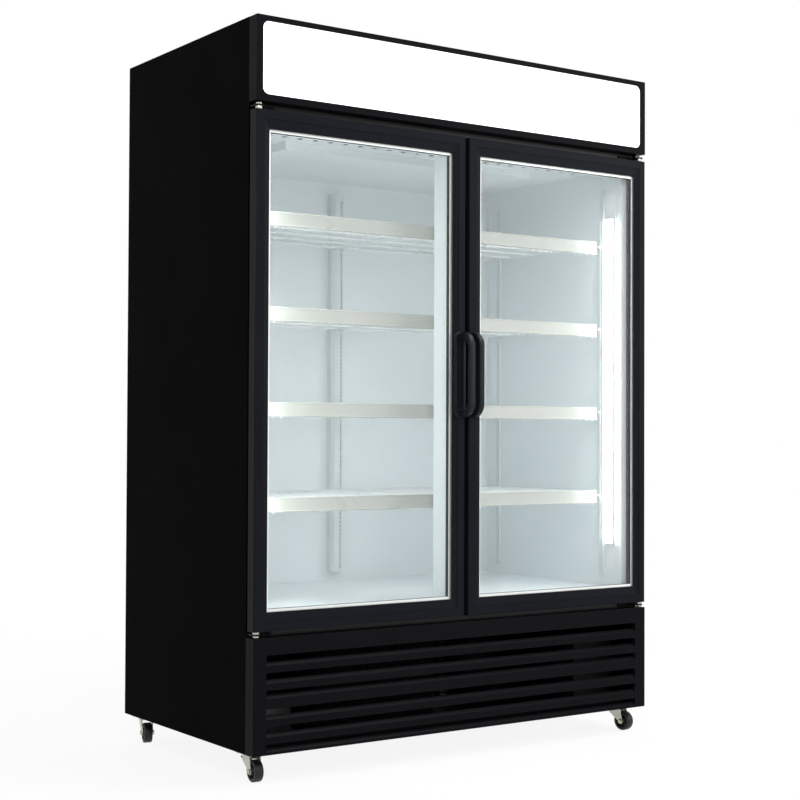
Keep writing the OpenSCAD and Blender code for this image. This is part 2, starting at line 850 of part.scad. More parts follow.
// Shelf support: a hooked tab on the slotted face at Y = 0 and a ledge out to -Y
module clip(reach) {
    t = 1.6;
    translate([-5, -t, -16]) cube([10, t, 22]);
    translate([-5, -reach, -2 * t]) cube([10, reach, 2 * t]);
}

module shelf_clips() {
    side_reach = shelf_gap - pilaster_t + rim_d + 3;
    color("#c9cfcf")
        both_sides()
            for (level = [1 : shelf_count])
                translate([0, 0, shelf_top(level) - rim_drop]) {
                    for (d = [pilaster_front + 7, pilaster_rear])
                        translate([-half_in + pilaster_t, yf(d), 0]) rotate([0, 0, 90]) clip(side_reach);
                    translate([-14, yf(mouth_d + pilaster_t), 0])
                        rotate([0, 0, 180]) clip(shelf_front - mouth_d - pilaster_t + rim_d);
                    translate([-14, yf(inner_back - post_t), 0])
                        clip(inner_back - post_t - shelf_front - shelf_d + rim_d + 2);
                }
}

// Wire shelf: a rim, cross rods and fine wires, welded where they cross
module wire_shelf() {
    r = rim_d / 2;
    wires = floor((shelf_w - 2 * rim_d) / wire_pitch);
    first = (shelf_w - (wires - 1) * wire_pitch) / 2;
    rim_z = -wire_d - r + weld;
    rod_z = -wire_d - rod_d / 2 + weld;
    for (y = [r, shelf_d - r]) translate([0, y, rim_z]) wire(rim_d, shelf_w);
    for (x = [r, shelf_w - r]) translate([x, 0, rim_z]) rotate([0, 0, 90]) wire(rim_d, shelf_d);
    for (i = [1 : 4]) translate([r, i * shelf_d / 5, rod_z]) wire(rod_d, shelf_w - rim_d);
    for (i = [0 : wires - 1])
        translate([first + i * wire_pitch, 1, -wire_d / 2]) rotate([0, 0, 90]) wire(wire_d, shelf_d - 2);
}

module shelf_level(level) {
    color("#f4f6f6")
        both_sides() translate([-shelf_x0, yf(shelf_front), shelf_top(level)]) wire_shelf();
}

module shelf_level_1() {
    shelf_level(1);
}

module shelf_level_2() {
    shelf_level(2);
}

module shelf_level_3() {
    shelf_level(3);
}

module shelf_level_4() {
    shelf_level(4);
}

// Price rail: a shallow channel that hangs on the front rim of each shelf
module price_rails() {
    lip = 1.5;
    inset = 16;
    color("#dde2de")
        both_sides()
            for (level = [1 : shelf_count])
                translate([inset - shelf_x0, yf(shelf_front), shelf_top(level) + 3])
                    rotate([90, 0, 90])
                        linear_extrude(shelf_w - 2 * inset)
                            polygon([[0, 0], [-rail_t, 0], [-rail_t - 1, -3], [-rail_t, -5],
                                [-rail_t - 2, 5 - rail_h], [-rail_t - 3, 2 - rail_h], [-lip, -rail_h],
                                [-lip, -rail_h + lip], [-rail_t, 3 - rail_h], [-rail_t + lip, -3],
                                [-lip, -3], [-lip, -22], [0, -22]]);
}

// ---------- lamps ----------

// Places its children against both side walls, facing the bays
module lamp_places() {
    mid = (face_d + mouth_d) / 2 + 11;
    both_sides() translate([-half_in, yf(mid), zb(lamp_z)]) children();
}

module lamp_housings() {
    end = 75;
    color("#e8ebea")
        lamp_places() {
            translate([0, -lamp_w / 2 - 4, -end]) cube([lamp_plate, lamp_w + 8, lamp_l + 2 * end]);
            translate([lamp_plate, -lamp_w / 2, 0]) cube([lamp_back - lamp_plate, lamp_w, lamp_l]);
            for (z = [0, lamp_l - lamp_cap])
                translate([lamp_plate, -lamp_w / 2, z]) cube([lamp_t - lamp_plate, lamp_w, lamp_cap]);
        }
}

module lamp_diffusers() {
    r = lamp_w / 2 - 1;
    depth = lamp_t - lamp_back - 0.5;
    color("white")
        lamp_places()
            translate([lamp_back, 0, lamp_cap])
                linear_extrude(lamp_l - 2 * lamp_cap)
                    intersection() {
                        translate([depth - r, 0]) circle(r);
                        translate([0, -r]) square([depth, 2 * r]);
                    }
}

// ---------- hinges, casters, fasteners ----------

// Bracket in the gap above or below a door: a flange on the face frame and a tongue for the pin
module hinge_bracket() {
    half = foot_gap / 2 - 1.5;
    x0 = -body_w / 2 + return_w + skim;
    pin = [-body_w / 2 + hinge_x, yf(hinge_y)];
    difference() {
        union() {
            block([x0, yf(face_d - bracket_t), -half], [x0 + bracket_l, yf(face_d), half]);
            block([pin.x - bracket_w / 2 + 1, pin.y, -bracket_t / 2],
                [x0 + 9, yf(front_proud - skim), bracket_t / 2]);
            translate([pin.x, pin.y, -bracket_t / 2]) cylinder(r = bracket_w / 2 - 1, h = bracket_t);
        }
        translate([pin.x, pin.y, -bracket_t]) cylinder(r = pin_r + fit, h = 2 * bracket_t);
    }
}

module hinge_brackets() {
    color("#17181a")
        both_sides()
            for (z = hinge_levels) translate([0, 0, z]) hinge_bracket();
}

// Shoulder pin: a hex head outside the tongue, a shoulder that spaces the door and a shank in it
module hinge_pin(door_gap_z) {
    reach = door_gap_z / 2;
    shoulder = reach - bracket_t / 2 - skim;
    translate([-body_w / 2 + hinge_x, yf(hinge_y), 0]) {
        translate([0, 0, bracket_t / 2]) cylinder(r = 8.5, h = 4.5, $fn = 6);
        translate([0, 0, -reach - pin_in + skim]) cylinder(r = pin_r, h = reach + pin_in + 5);
        translate([0, 0, -bracket_t / 2 - shoulder]) cylinder(r = shoulder_r, h = shoulder);
    }
}

module hinge_pins() {
    color("#c4c6c8")
        both_sides() {
            translate([0, 0, hinge_levels[0]]) mirror([0, 0, 1]) hinge_pin(foot_gap);
            translate([0, 0, hinge_levels[1]]) hinge_pin(top_gap);
        }
}

// Each caster's swivel position [x, y] and how far it is turned
function caster_at(i) = [
    (i % 2 == 0 ? -1 : 1) * (body_w / 2 - caster_x),
    i < 2 ? yf(caster_front) : yf(body_d - caster_rear)];

module at_caster(i) {
    translate([caster_at(i).x, caster_at(i).y, 0]) rotate([0, 0, caster_turn[i]]) children();
}

// Bolted top plate with the upper ball race and the kingpin
module caster_plates() {
    color("#b9b9ad")
        for (i = [0 : 3])
            translate([caster_at(i).x, caster_at(i).y, caster_h]) {
                difference() {
                    translate([-plate_x / 2, -plate_y / 2, -plate_t]) cube([plate_x, plate_y, plate_t]);
                    for (x = [-hole_x, hole_x] / 2, y = [-hole_y, hole_y] / 2)
                        translate([x, y, -plate_t - past]) cylinder(d = 7, h = plate_t + 2 * past);
                }
                translate([0, 0, -plate_t - race_h]) cylinder(r = 20, h = race_h);
                translate([0, 0, -plate_t - race_h - crown_t - skim - rivet_h])
                    cylinder(r = kingpin_r, h = race_h + crown_t + skim + rivet_h);
                translate([0, 0, -plate_t - race_h - crown_t - skim - rivet_h])
                    cylinder(r = 8, h = rivet_h - skim);
            }
}

// Pressed fork with two legs that lean to the axle, and the axle bolt through them
module fork(braked) {
    leg_in = wheel_w / 2 + 1.5;
    leg_t = 2.5;
    crown_z = caster_h - plate_t - race_h - crown_t - skim / 2;
    boss_r = 9;
    difference() {
        union() {
            translate([0, 0, crown_z]) cylinder(r = 22, h = crown_t);
            translate([-leg_in - leg_t, -20, crown_z]) cube([2 * (leg_in + leg_t), 42, crown_t]);
            for (s = [-1, 1])
                translate([s * (leg_in + leg_t / 2) - leg_t / 2, 0, 0])
                    rotate([90, 0, 90])
                        linear_extrude(leg_t) {
                            polygon([[-20, crown_z + 1], [22, crown_z + 1], [22, crown_z - 13],
                                [boss_r - trail, wheel_r], [-boss_r - trail, wheel_r]]);
                            translate([-trail, wheel_r]) circle(boss_r);
                        }
        }
        translate([0, 0, crown_z - past]) cylinder(r = kingpin_r + fit, h = crown_t + 2 * past);
        translate([0, -trail, wheel_r])
            rotate([0, 90, 0]) cylinder(r = axle_r + fit, h = 60, center = true);
        if (braked)
            translate([0, brake_y, caster_h - brake_drop])
                rotate([0, 90, 0]) cylinder(r = brake_pin_r + fit, h = 60, center = true);
    }
    translate([0, -trail, wheel_r])
        rotate([0, 90, 0]) {
            cylinder(r = axle_r, h = 2 * (leg_in + leg_t) + 4, center = true);
            for (s = [-1, 1])
                translate([0, 0, s * (leg_in + leg_t + 2) - 2]) cylinder(r = 6.5, h = 4, $fn = 6);
        }
}

module wheel() {
    hub_r = 11;
    web = 8;
    tyre = 9;
    edge = 4;
    half = wheel_w / 2;
    translate([0, -trail, wheel_r])
        rotate([0, 90, 0])
            rotate_extrude($fn = 64)
                union() {
                    translate([axle_r + fit, -half]) square([hub_r - axle_r, wheel_w]);
                    translate([hub_r - 1, -web / 2]) square([wheel_r - tyre - hub_r + 2, web]);
                    translate([wheel_r - tyre, -half + edge]) square([tyre, wheel_w - 2 * edge]);
                    translate([wheel_r - tyre, -half]) square([tyre - edge, wheel_w]);
                    for (y = [-half + edge, half - edge]) translate([wheel_r - edge, y]) circle(edge);
                }
}

// Brake pedal between the fork's legs: a pivot barrel, a foot pad and the shoe that meets the tyre
module brake() {
    w = 20;
    translate([0, brake_y, caster_h - brake_drop]) {
        rotate([0, 90, 0]) cylinder(r = brake_pin_r, h = wheel_w + 6, center = true);
        rotate([0, 90, 0]) cylinder(r = 4, h = w + 4, center = true);
        rotate([-12, 0, 0])
            translate([-w / 2, 0, 0])
                rotate([90, 0, 90])
                    linear_extrude(w)
                        polygon([[0, 1], [34, 1], [34, 8], [31.5, 8], [31.5, 3.5], [0, 3.5]]);
        translate([-w / 2 + 3, -1, -19.5]) cube([w - 6, 2, 19.5]);
    }
}

module front_left_fork() {
    color("#b9b9ad") at_caster(0) fork(true);
}

module front_right_fork() {
    color("#b9b9ad") at_caster(1) fork(true);
}

module rear_left_fork() {
    color("#b9b9ad") at_caster(2) fork(false);
}

module rear_right_fork() {
    color("#b9b9ad") at_caster(3) fork(false);
}

module front_left_wheel() {
    color("#1b1c1e") at_caster(0) wheel();
}

module front_right_wheel() {
    color("#1b1c1e") at_caster(1) wheel();
}

module rear_left_wheel() {
    color("#1b1c1e") at_caster(2) wheel();
}

module rear_right_wheel() {
    color("#1b1c1e") at_caster(3) wheel();
}

module front_left_brake() {
    color("#b9b9ad") at_caster(0) brake();
}

module front_right_brake() {
    color("#b9b9ad") at_caster(1) brake();
}

// Pan-head screw whose head stands on a face that looks along +Z
module screw(r) {
    cylinder(r = r, h = screw_h - 0.5);
    cylinder(r = 0.7 * r, h = screw_h);
}

module panel_screws() {
    edge = 9;
    color("#a8aaac") {
        for (x = [-body_w / 2 + edge, -body_w / 4, body_w / 4, body_w / 2 - edge],
             z = [10, grille_h - 12, grille_h + 14, (grille_h + body_h) / 2, body_h - 16])
            translate([x, yf(body_d), zb(z)]) rotate([-90, 0, 0]) screw(4.5);
        for (i = [0 : 3], x = [-hole_x, hole_x] / 2, y = [-hole_y, hole_y] / 2)
            translate([caster_at(i).x + x, caster_at(i).y + y, caster_h - plate_t])
                mirror([0, 0, 1]) cylinder(r = 5, h = 3, $fn = 6);
        both_sides()
            for (z = hinge_levels, x = [38, 62])
                translate([-body_w / 2 + x, yf(face_d - bracket_t), z]) rotate([90, 0, 0]) screw(4);
    }
}

// ---------- doors ----------

module at_door() {
    translate([-body_w / 2, y_front, zb(door_z)]) children();
}

module door_frame() {
    at_door()
        difference() {
            mitred_frame(door_w, door_h, [door_profile(rail_w), mitre(stile_w, rail_w)],
                [door_profile(stile_w), mitre(rail_w, stile_w)]);
            for (z = [0, door_h])
                translate([hinge_x, hinge_y, z]) cylinder(r = pin_r + fit, h = 2 * pin_in, center = true);
        }
}

module door_glass() {
    at_door()
        for (i = [0 : 2])
            translate([glass_x, glass_recess + i * (pane_t + pane_gap), glass_z])
                cube([door_w - 2 * glass_x, pane_t, door_h - 2 * glass_z]);
}

module door_spacers() {
    inset = 5;
    band = glass_hold - inset + spacer_show;
    w = door_w - 2 * (glass_x + inset);
    h = door_h - 2 * (glass_z + inset);
    at_door()
        for (i = [0, 1])
            translate([glass_x + inset, glass_recess + pane_t + i * (pane_t + pane_gap), glass_z + inset])
                difference() {
                    cube([w, pane_gap, h]);
                    translate([band, -past, band])
                        cube([w - 2 * band, pane_gap + 2 * past, h - 2 * band]);
                }
}

module door_gasket() {
    bar = [gasket_profile, gasket_mitre];
    at_door() mitred_frame(door_w, door_h, bar, bar);
}

// Outline of a bow that stands off the Z axis towards -X, with its far corners rounded
module bow_outline(reach, height, r) {
    intersection() {
        translate([-reach, -height / 2]) rounded_rect(2 * reach, height, r);
        translate([-reach, -height / 2]) square([reach, height]);
    }
}

module door_handle() {
    outer_r = 40;
    foot = 25;
    plan_r = 6;
    translate([-body_w / 2 + door_w - handle_inset, y_front, zb(handle_z)])
        intersection() {
            translate([-handle_w / 2, 0, 0])
                rotate([90, 0, 90])
                    linear_extrude(handle_w)
                        difference() {
                            bow_outline(handle_reach, handle_l, outer_r);
                            bow_outline(handle_reach - grip_t, handle_l - 2 * foot, outer_r - grip_t);
                        }
            translate([0, 0, -handle_l])
                linear_extrude(2 * handle_l)
                    intersection() {
                        translate([-handle_w / 2, -handle_reach])
                            rounded_rect(handle_w, 2 * handle_reach, plan_r);
                        translate([-handle_w / 2, -handle_reach]) square([handle_w, handle_reach]);
                    }
        }
}

module left_door_frame() {
    color("#1b1c20") door_frame();
}

module left_door_glass() {
    color("#cfe3e4", 0.35) door_glass();
}

module left_door_spacers() {
    color("#b9beba") door_spacers();
}

module left_door_gasket() {
    color("#2a2b2e") door_gasket();
}

module left_door_handle() {
    color("#141416") door_handle();
}

module right_door_frame() {
    color("#1b1c20") mirror([1, 0, 0]) door_frame();
}

module right_door_glass() {
    color("#cfe3e4", 0.35) mirror([1, 0, 0]) door_glass();
}

module right_door_spacers() {
    color("#b9beba") mirror([1, 0, 0]) door_spacers();
}

module right_door_gasket() {
    color("#2a2b2e") mirror([1, 0, 0]) door_gasket();
}

module right_door_handle() {
    color("#141416") mirror([1, 0, 0]) door_handle();
}

left_side_panel();
right_side_panel();
rear_panel();
roof_panel();
base_frame();
foam_walls();
inner_liner();
face_frame();
centre_mullion();
header_frame();
header_sign();
header_lamps();
front_grille();
rear_louvre_panel();
compressor();
condenser_coil();
condenser_shroud();
drain_pan();
refrigerant_lines();
evaporator_cover();
evaporator_coil();
fan_motors();
shelf_pilasters();
shelf_clips();
shelf_level_1();
shelf_level_2();
shelf_level_3();
shelf_level_4();
price_rails();
lamp_housings();
lamp_diffusers();
hinge_brackets();
hinge_pins();
caster_plates();
control_box();
panel_screws();
left_door_frame();
left_door_glass();
left_door_spacers();
left_door_gasket();
left_door_handle();
right_door_frame();
right_door_glass();
right_door_spacers();
right_door_gasket();
right_door_handle();
condenser_fan();
left_evaporator_fan();
right_evaporator_fan();
front_left_fork();
front_right_fork();
rear_left_fork();
rear_right_fork();
front_left_wheel();
front_right_wheel();
rear_left_wheel();
rear_right_wheel();
front_left_brake();
front_right_brake();
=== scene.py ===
# %% [markdown]
# # A two-door merchandiser freezer, dressed in Blender
#
# The real thing is a foamed steel box on four casters, with two glass doors that swing
# open in front, a lit sign box above them and a louvred grille below. Its measured solids
# come from a CAD file, so no size is decided here: each solid is either given a finish, or
# is replaced by a finer piece that fills the same room.

# %% Load the measured frame
import math

import bpy
from mathutils import Matrix, Vector


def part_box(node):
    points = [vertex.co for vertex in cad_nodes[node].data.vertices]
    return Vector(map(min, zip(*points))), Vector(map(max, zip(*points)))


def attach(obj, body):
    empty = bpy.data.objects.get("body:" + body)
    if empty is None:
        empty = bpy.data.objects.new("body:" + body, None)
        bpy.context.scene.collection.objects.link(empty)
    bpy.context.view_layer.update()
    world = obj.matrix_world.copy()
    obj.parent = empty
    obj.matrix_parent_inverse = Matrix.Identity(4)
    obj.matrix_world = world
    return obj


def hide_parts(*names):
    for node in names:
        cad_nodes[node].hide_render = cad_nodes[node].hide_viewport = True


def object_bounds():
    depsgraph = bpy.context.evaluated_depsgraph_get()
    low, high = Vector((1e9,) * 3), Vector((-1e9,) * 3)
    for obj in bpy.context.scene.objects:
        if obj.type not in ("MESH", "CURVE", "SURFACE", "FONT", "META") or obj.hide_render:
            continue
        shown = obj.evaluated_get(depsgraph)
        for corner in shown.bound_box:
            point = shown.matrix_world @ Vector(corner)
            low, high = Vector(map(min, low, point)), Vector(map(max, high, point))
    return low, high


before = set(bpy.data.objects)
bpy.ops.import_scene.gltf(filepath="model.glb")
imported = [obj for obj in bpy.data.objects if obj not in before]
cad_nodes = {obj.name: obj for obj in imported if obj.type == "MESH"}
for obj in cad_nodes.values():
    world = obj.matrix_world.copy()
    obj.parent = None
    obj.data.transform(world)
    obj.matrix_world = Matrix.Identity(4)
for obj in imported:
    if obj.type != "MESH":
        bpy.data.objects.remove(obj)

cad_low, cad_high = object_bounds()
print(len(cad_nodes), "solids, from", tuple(cad_low), "to", tuple(cad_high))

# %% [markdown]
# ## The camera
#
# The photograph was taken from the left of the freezer, at about chest height, with the
# lens level to within two degrees. The place and the turn of the camera were solved from
# the cabinet's corners. Turning a matrix by heading, tilt and roll, in that order, is the
# same as what a photographer does with a tripod head.
#
# A ray that looks through a door crosses six clear surfaces, and its light comes in through
# six more. Blender gives up after eight, which leaves the shelves in the dark, so the limit
# is raised.

# %% Set up the camera
MM = 0.001
CAMERA_PLACE = Vector((-2701.63, -3907.39, 915.92)) * MM
CAMERA_HEADING = math.radians(34.8507)
CAMERA_TILT = math.radians(1.18346)
CAMERA_ROLL = math.radians(0.23499)
LENS_MM = 70.624
FILM_MM = 36.0
CLEAR_SURFACES = 32

camera_data = bpy.data.cameras.new("photo_camera")
camera_data.lens = LENS_MM
camera_data.sensor_width = FILM_MM
camera = bpy.data.objects.new("photo_camera", camera_data)
bpy.context.scene.collection.objects.link(camera)
camera.matrix_world = (
    Matrix.Translation(CAMERA_PLACE)
    @ Matrix.Rotation(-CAMERA_HEADING, 4, "Z")
    @ Matrix.Rotation(math.radians(90) + CAMERA_TILT, 4, "X")
    @ Matrix.Rotation(CAMERA_ROLL, 4, "Z")
)
bpy.context.scene.camera = camera
bpy.context.scene.view_settings.view_transform = "Standard"
bpy.context.scene.cycles.transparent_max_bounces = CLEAR_SURFACES
print("camera at", tuple(camera.location))

# %% [markdown]
# ## Helpers for modelling by operators
#
# Blender's operators act on whatever is selected, just as they do under the mouse. Two
# short helpers keep that honest: one picks a single piece, and one clears the selection.
# Three more finish a piece, copy it and join several. To finish a piece means that its
# modifiers are applied, its place goes into its mesh, and it is tied to the body that it
# moves with.

# %% Selecting, finishing, copying and joining
def select_only(piece):
    """Leaves edit mode and makes one piece the only selected and active one."""
    if bpy.context.object and bpy.context.object.mode != "OBJECT":
        bpy.ops.object.mode_set(mode="OBJECT")
    bpy.ops.object.select_all(action="DESELECT")
    piece.select_set(True)
    bpy.context.view_layer.objects.active = piece


def clear_selection():
    """Leaves edit mode with nothing selected, ready for a new primitive."""
    if bpy.context.object and bpy.context.object.mode != "OBJECT":
        bpy.ops.object.mode_set(mode="OBJECT")
    bpy.ops.object.select_all(action="DESELECT")


def finish_piece(piece, name, finish, body, slot, *nodes):
    """Applies a piece's modifiers and place, and gives it a name, a finish and a body."""
    select_only(piece)
    for modifier in list(piece.modifiers):
        bpy.ops.object.modifier_apply(modifier=modifier.name)
    bpy.ops.object.transform_apply(location=True, rotation=True, scale=True)
    piece.name = name
    piece.data.name = name
    piece.data.materials.clear()
    piece.data.materials.append(finish)
    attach(piece, body)
    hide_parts(*nodes)
    print(name, len(piece.data.polygons), "faces on", body)


def copy_piece(piece, matrix):
    """Copies a piece with a mesh of its own, moved by a matrix, with its faces kept outwards."""
    made = piece.copy()
    made.data = piece.data.copy()
    bpy.context.scene.collection.objects.link(made)
    made.data.transform(matrix)
    if matrix.determinant() < 0:
        made.data.flip_normals()
    return made


def join_pieces(parts):
    """Joins several parts into the first one."""
    select_only(parts[0])
    for part in parts[1:]:
        part.select_set(True)
    bpy.ops.object.join()
    return parts[0]


print("five helpers are ready")

# %% [markdown]
# ## Sweeping and turning
#
# Bent wires and rods are one outline carried along a path of straight runs and round
# corners. In edit mode, that is an extrude for each run and a spin for each corner, with
# the end of the last step still selected. A wheel or a hub is the other kind of round
# part: a line of points spun all the way round an axis, as on a lathe.

# %% Sweep and lathe
CORNER_STEPS = 8
SAME_PLACE = 0.01 * MM
POINT_SIZE = 1 * MM


def ring_at(centre, radius, sides, axis_turn):
    """Starts a piece from a ring of points: axis_turn is the turn that faces it along its path."""
    clear_selection()
    bpy.ops.mesh.primitive_circle_add(vertices=sides, radius=radius, location=centre, rotation=axis_turn)
    piece = bpy.context.object
    bpy.ops.object.transform_apply(location=True, rotation=True, scale=True)
    bpy.ops.object.mode_set(mode="EDIT")
    bpy.ops.mesh.select_mode(type="VERT")
    bpy.ops.mesh.select_all(action="SELECT")
    return piece


def sweep(moves):
    """Carries the selected ring along ("run", vector) and ("turn", centre, axis, angle) moves."""
    for move in moves:
        if move[0] == "run":
            bpy.ops.mesh.extrude_region_move(TRANSFORM_OT_translate={"value": move[1]})
        else:
            # spin counts its angle the other way round than the right-hand rule
            bpy.ops.mesh.spin(steps=CORNER_STEPS, angle=-move[3], center=move[1], axis=move[2])


def tidy_shell(piece):
    """Merges doubled points and turns every face outwards."""
    select_only(piece)
    bpy.ops.object.mode_set(mode="EDIT")
    bpy.ops.mesh.select_all(action="SELECT")
    bpy.ops.mesh.remove_doubles(threshold=SAME_PLACE)
    bpy.ops.mesh.normals_make_consistent(inside=False)
    bpy.ops.object.mode_set(mode="OBJECT")


def lathe(points, sides, place, axis_turn):
    """Turns (radius, height) points round the Z axis, then turns and moves the result to its place."""
    clear_selection()
    bpy.ops.mesh.primitive_plane_add(size=POINT_SIZE, location=(0, 0, 0))
    piece = bpy.context.object
    bpy.ops.object.mode_set(mode="EDIT")
    bpy.ops.mesh.select_mode(type="VERT")
    bpy.ops.mesh.select_all(action="SELECT")
    bpy.ops.mesh.merge(type="CENTER")
    bpy.ops.transform.translate(value=(points[0][0], 0, points[0][1]))
    for before, after in zip(points, points[1:]):
        step = (after[0] - before[0], 0, after[1] - before[1])
        bpy.ops.mesh.extrude_region_move(TRANSFORM_OT_translate={"value": step})
    bpy.ops.mesh.select_all(action="SELECT")
    bpy.ops.mesh.spin(steps=sides, angle=math.tau, center=(0, 0, 0), axis=(0, 0, 1))
    tidy_shell(piece)
    piece.rotation_euler = axis_turn
    piece.location = place
    bpy.ops.object.transform_apply(location=True, rotation=True, scale=True)
    return piece


print("a corner is spun in", CORNER_STEPS, "steps")

# %% [markdown]
# ## A node and a colour
#
# A material is a small graph. One function adds any node, sets its settings and links its
# inputs, so that each finish below reads as a short list, and a second one does the sums.
# Colours are written as the hex values that a painter would pick on screen, and one
# function turns them to linear light.

# %% Colour and node helpers
def srgb(code):
    """Linear RGBA of a hex colour."""
    channels = [int(code[i : i + 2], 16) / 255 for i in (1, 3, 5)]
    return tuple(c / 12.92 if c <= 0.04045 else ((c + 0.055) / 1.055) ** 2.4 for c in channels) + (1.0,)


def add_node(finish, kind, inputs=None, **settings):
    """Adds a node: inputs take values or the sockets that feed them, settings are the node's own."""
    node = finish.node_tree.nodes.new(kind)
    for key, value in settings.items():
        setattr(node, key, value)
    for key, value in (inputs or {}).items():
        if isinstance(value, bpy.types.NodeSocket):
            finish.node_tree.links.new(value, node.inputs[key])
        else:
            node.inputs[key].default_value = value
    return node


def new_finish(name, **sockets):
    """A material with one Principled shader, whose sockets are set to plain values."""
    finish = bpy.data.materials.new(name)
    finish.use_nodes = True
    shader = finish.node_tree.nodes["Principled BSDF"]
    for key, value in sockets.items():
        shader.inputs[key.replace("_", " ")].default_value = value
    return finish, shader


def combine(finish, operation, first, second=0.0):
    """The result of one sum, product or comparison of two values or sockets."""
    return add_node(finish, "ShaderNodeMath", {0: first, 1: second}, operation=operation).outputs["Value"]


def feed(finish, shader, socket, source):
    """Links a pattern into one of the shader's sockets."""
    finish.node_tree.links.new(source, shader.inputs[socket])


# %% [markdown]
# ## Coated sheet
#
# Powder coat and enamel start as a skin that flows and sets. Close to, the skin has an
# orange peel a millimetre or two across. From further off, one sees broad, faint patches
# where it lies thicker or where hands have polished it. One recipe gives both: a fine
# noise that drives the bump, and a broad one that moves colour and roughness. The sizes
# are in millimetres, and the fine one is drawn a little coarse so that it shows.

# %% Recipe for coated and moulded surfaces
NOISE_LOW, NOISE_HIGH = 0.3, 0.7
COAT_SWING = 0.06


def mottled(name, light, dark, rough, peel_mm, peel_depth_mm, patch_mm=260.0, **sockets):
    """A finish whose colour and roughness drift in patches, over a fine pebbled skin."""
    finish, shader = new_finish(name, **sockets)
    place = add_node(finish, "ShaderNodeTexCoord").outputs["Object"]
    patches = add_node(
        finish, "ShaderNodeTexNoise",
        {"Vector": place, "Scale": 1000 / patch_mm, "Detail": 5.0, "Roughness": 0.62},
    ).outputs["Fac"]
    peel = add_node(
        finish, "ShaderNodeTexNoise",
        {"Vector": place, "Scale": 1000 / peel_mm, "Detail": 2.0, "Roughness": 0.5},
    ).outputs["Fac"]
    tint = add_node(
        finish, "ShaderNodeMix",
        {"Factor": patches, "A": srgb(dark), "B": srgb(light)}, data_type="RGBA",
    ).outputs["Result"]
    sheen = add_node(
        finish, "ShaderNodeMapRange",
        {
            "Value": patches, "From Min": NOISE_LOW, "From Max": NOISE_HIGH,
            "To Min": rough - COAT_SWING, "To Max": rough + COAT_SWING,
        },
    ).outputs["Result"]
    skin = add_node(
        finish, "ShaderNodeBump", {"Height": peel, "Strength": 0.6, "Distance": peel_depth_mm * MM},
    ).outputs["Normal"]
    feed(finish, shader, "Base Color", tint)
    feed(finish, shader, "Roughness", sheen)
    feed(finish, shader, "Normal", skin)
    return finish


print("a coat's roughness swings by", COAT_SWING)

# %% [markdown]
# The outside panels are black powder coat over steel sheet. The photograph shows them
# nearly without highlights, so the skin is rough and its reflection is held down. Their
# copy of the paint is also darker and almost without reflection: painted shade for the
# cabinet's shaded side. The header and the grille are the same paint, sprayed a little
# smoother, and keep its lighter colour.

# %% Black powder coats
POLYESTER_IOR = 1.5
# painted shade: the panels' copy of the black is darker and nearly unreflective, for the shade on the
# cabinet's side
shaded_panel_black = mottled(
    "powder_coat_black", "#08080a", "#040405", rough=0.5, peel_mm=2.4, peel_depth_mm=0.05,
    IOR=POLYESTER_IOR, Specular_IOR_Level=0.005,
)
front_black = mottled(
    "powder_coat_black_satin", "#111215", "#0c0c0f", rough=0.4, peel_mm=2.0, peel_depth_mm=0.04,
    IOR=POLYESTER_IOR, Specular_IOR_Level=0.028,
)
bracket_black = mottled(
    "bracket_black_paint", "#101113", "#0a0a0c", rough=0.45, peel_mm=1.4, peel_depth_mm=0.04,
    patch_mm=30, IOR=POLYESTER_IOR, Specular_IOR_Level=0.12,
)
compressor_black = mottled(
    "compressor_black_enamel", "#111214", "#0a0a0c", rough=0.55, peel_mm=3.0, peel_depth_mm=0.08,
    patch_mm=60, IOR=POLYESTER_IOR, Specular_IOR_Level=0.15,
)
motor_grey = mottled(
    "motor_grey_enamel", "#54585b", "#3f4346", rough=0.5, peel_mm=2.0, peel_depth_mm=0.05,
    patch_mm=40, IOR=POLYESTER_IOR,
)
print("five dark paints, from", shaded_panel_black.name, "to", motor_grey.name)

# %% [markdown]
# Inside, the liner is steel sheet with a white baked enamel, which takes a cool cast from
# the lamps. Pilasters and clips carry the same white in a harder powder, and the wire
# shelves are dipped in plastic, which is thick, soft and a little glossy.

# %% White enamels
liner_white = mottled(
    "baked_enamel_liner", "#e2e9eb", "#d3dcdf", rough=0.36, peel_mm=3.2, peel_depth_mm=0.05,
    patch_mm=420, IOR=POLYESTER_IOR, Specular_IOR_Level=0.45,
)
pilaster_white = mottled(
    "pilaster_white_powder", "#d6dddd", "#c6cecf", rough=0.42, peel_mm=1.6, peel_depth_mm=0.04,
    patch_mm=80, IOR=POLYESTER_IOR,
)
wire_white = mottled(
    "dipped_vinyl_white", "#f0f3f3", "#e2e8e8", rough=0.3, peel_mm=4.0, peel_depth_mm=0.06,
    patch_mm=90, IOR=1.53,
)
lamp_white = mottled(
    "lamp_body_white", "#eceeed", "#e0e3e2", rough=0.4, peel_mm=1.2, peel_depth_mm=0.02,
    patch_mm=60, IOR=1.49,
)
rail_grey = mottled(
    "extruded_vinyl_rail", "#abafa7", "#9fa39c", rough=0.32, peel_mm=5.0, peel_depth_mm=0.04,
    patch_mm=160, IOR=1.54,
)
print("five pale coatings, from", liner_white.name, "to", rail_grey.name)

# %% [markdown]
# Three black mouldings are left. The handles are satin ABS with a spark-eroded grain, the
# caster wheels are nylon, and fans, shroud and control box are plain polypropylene. The
# gasket is a soft vinyl with a magnet inside, so it has almost no shine.

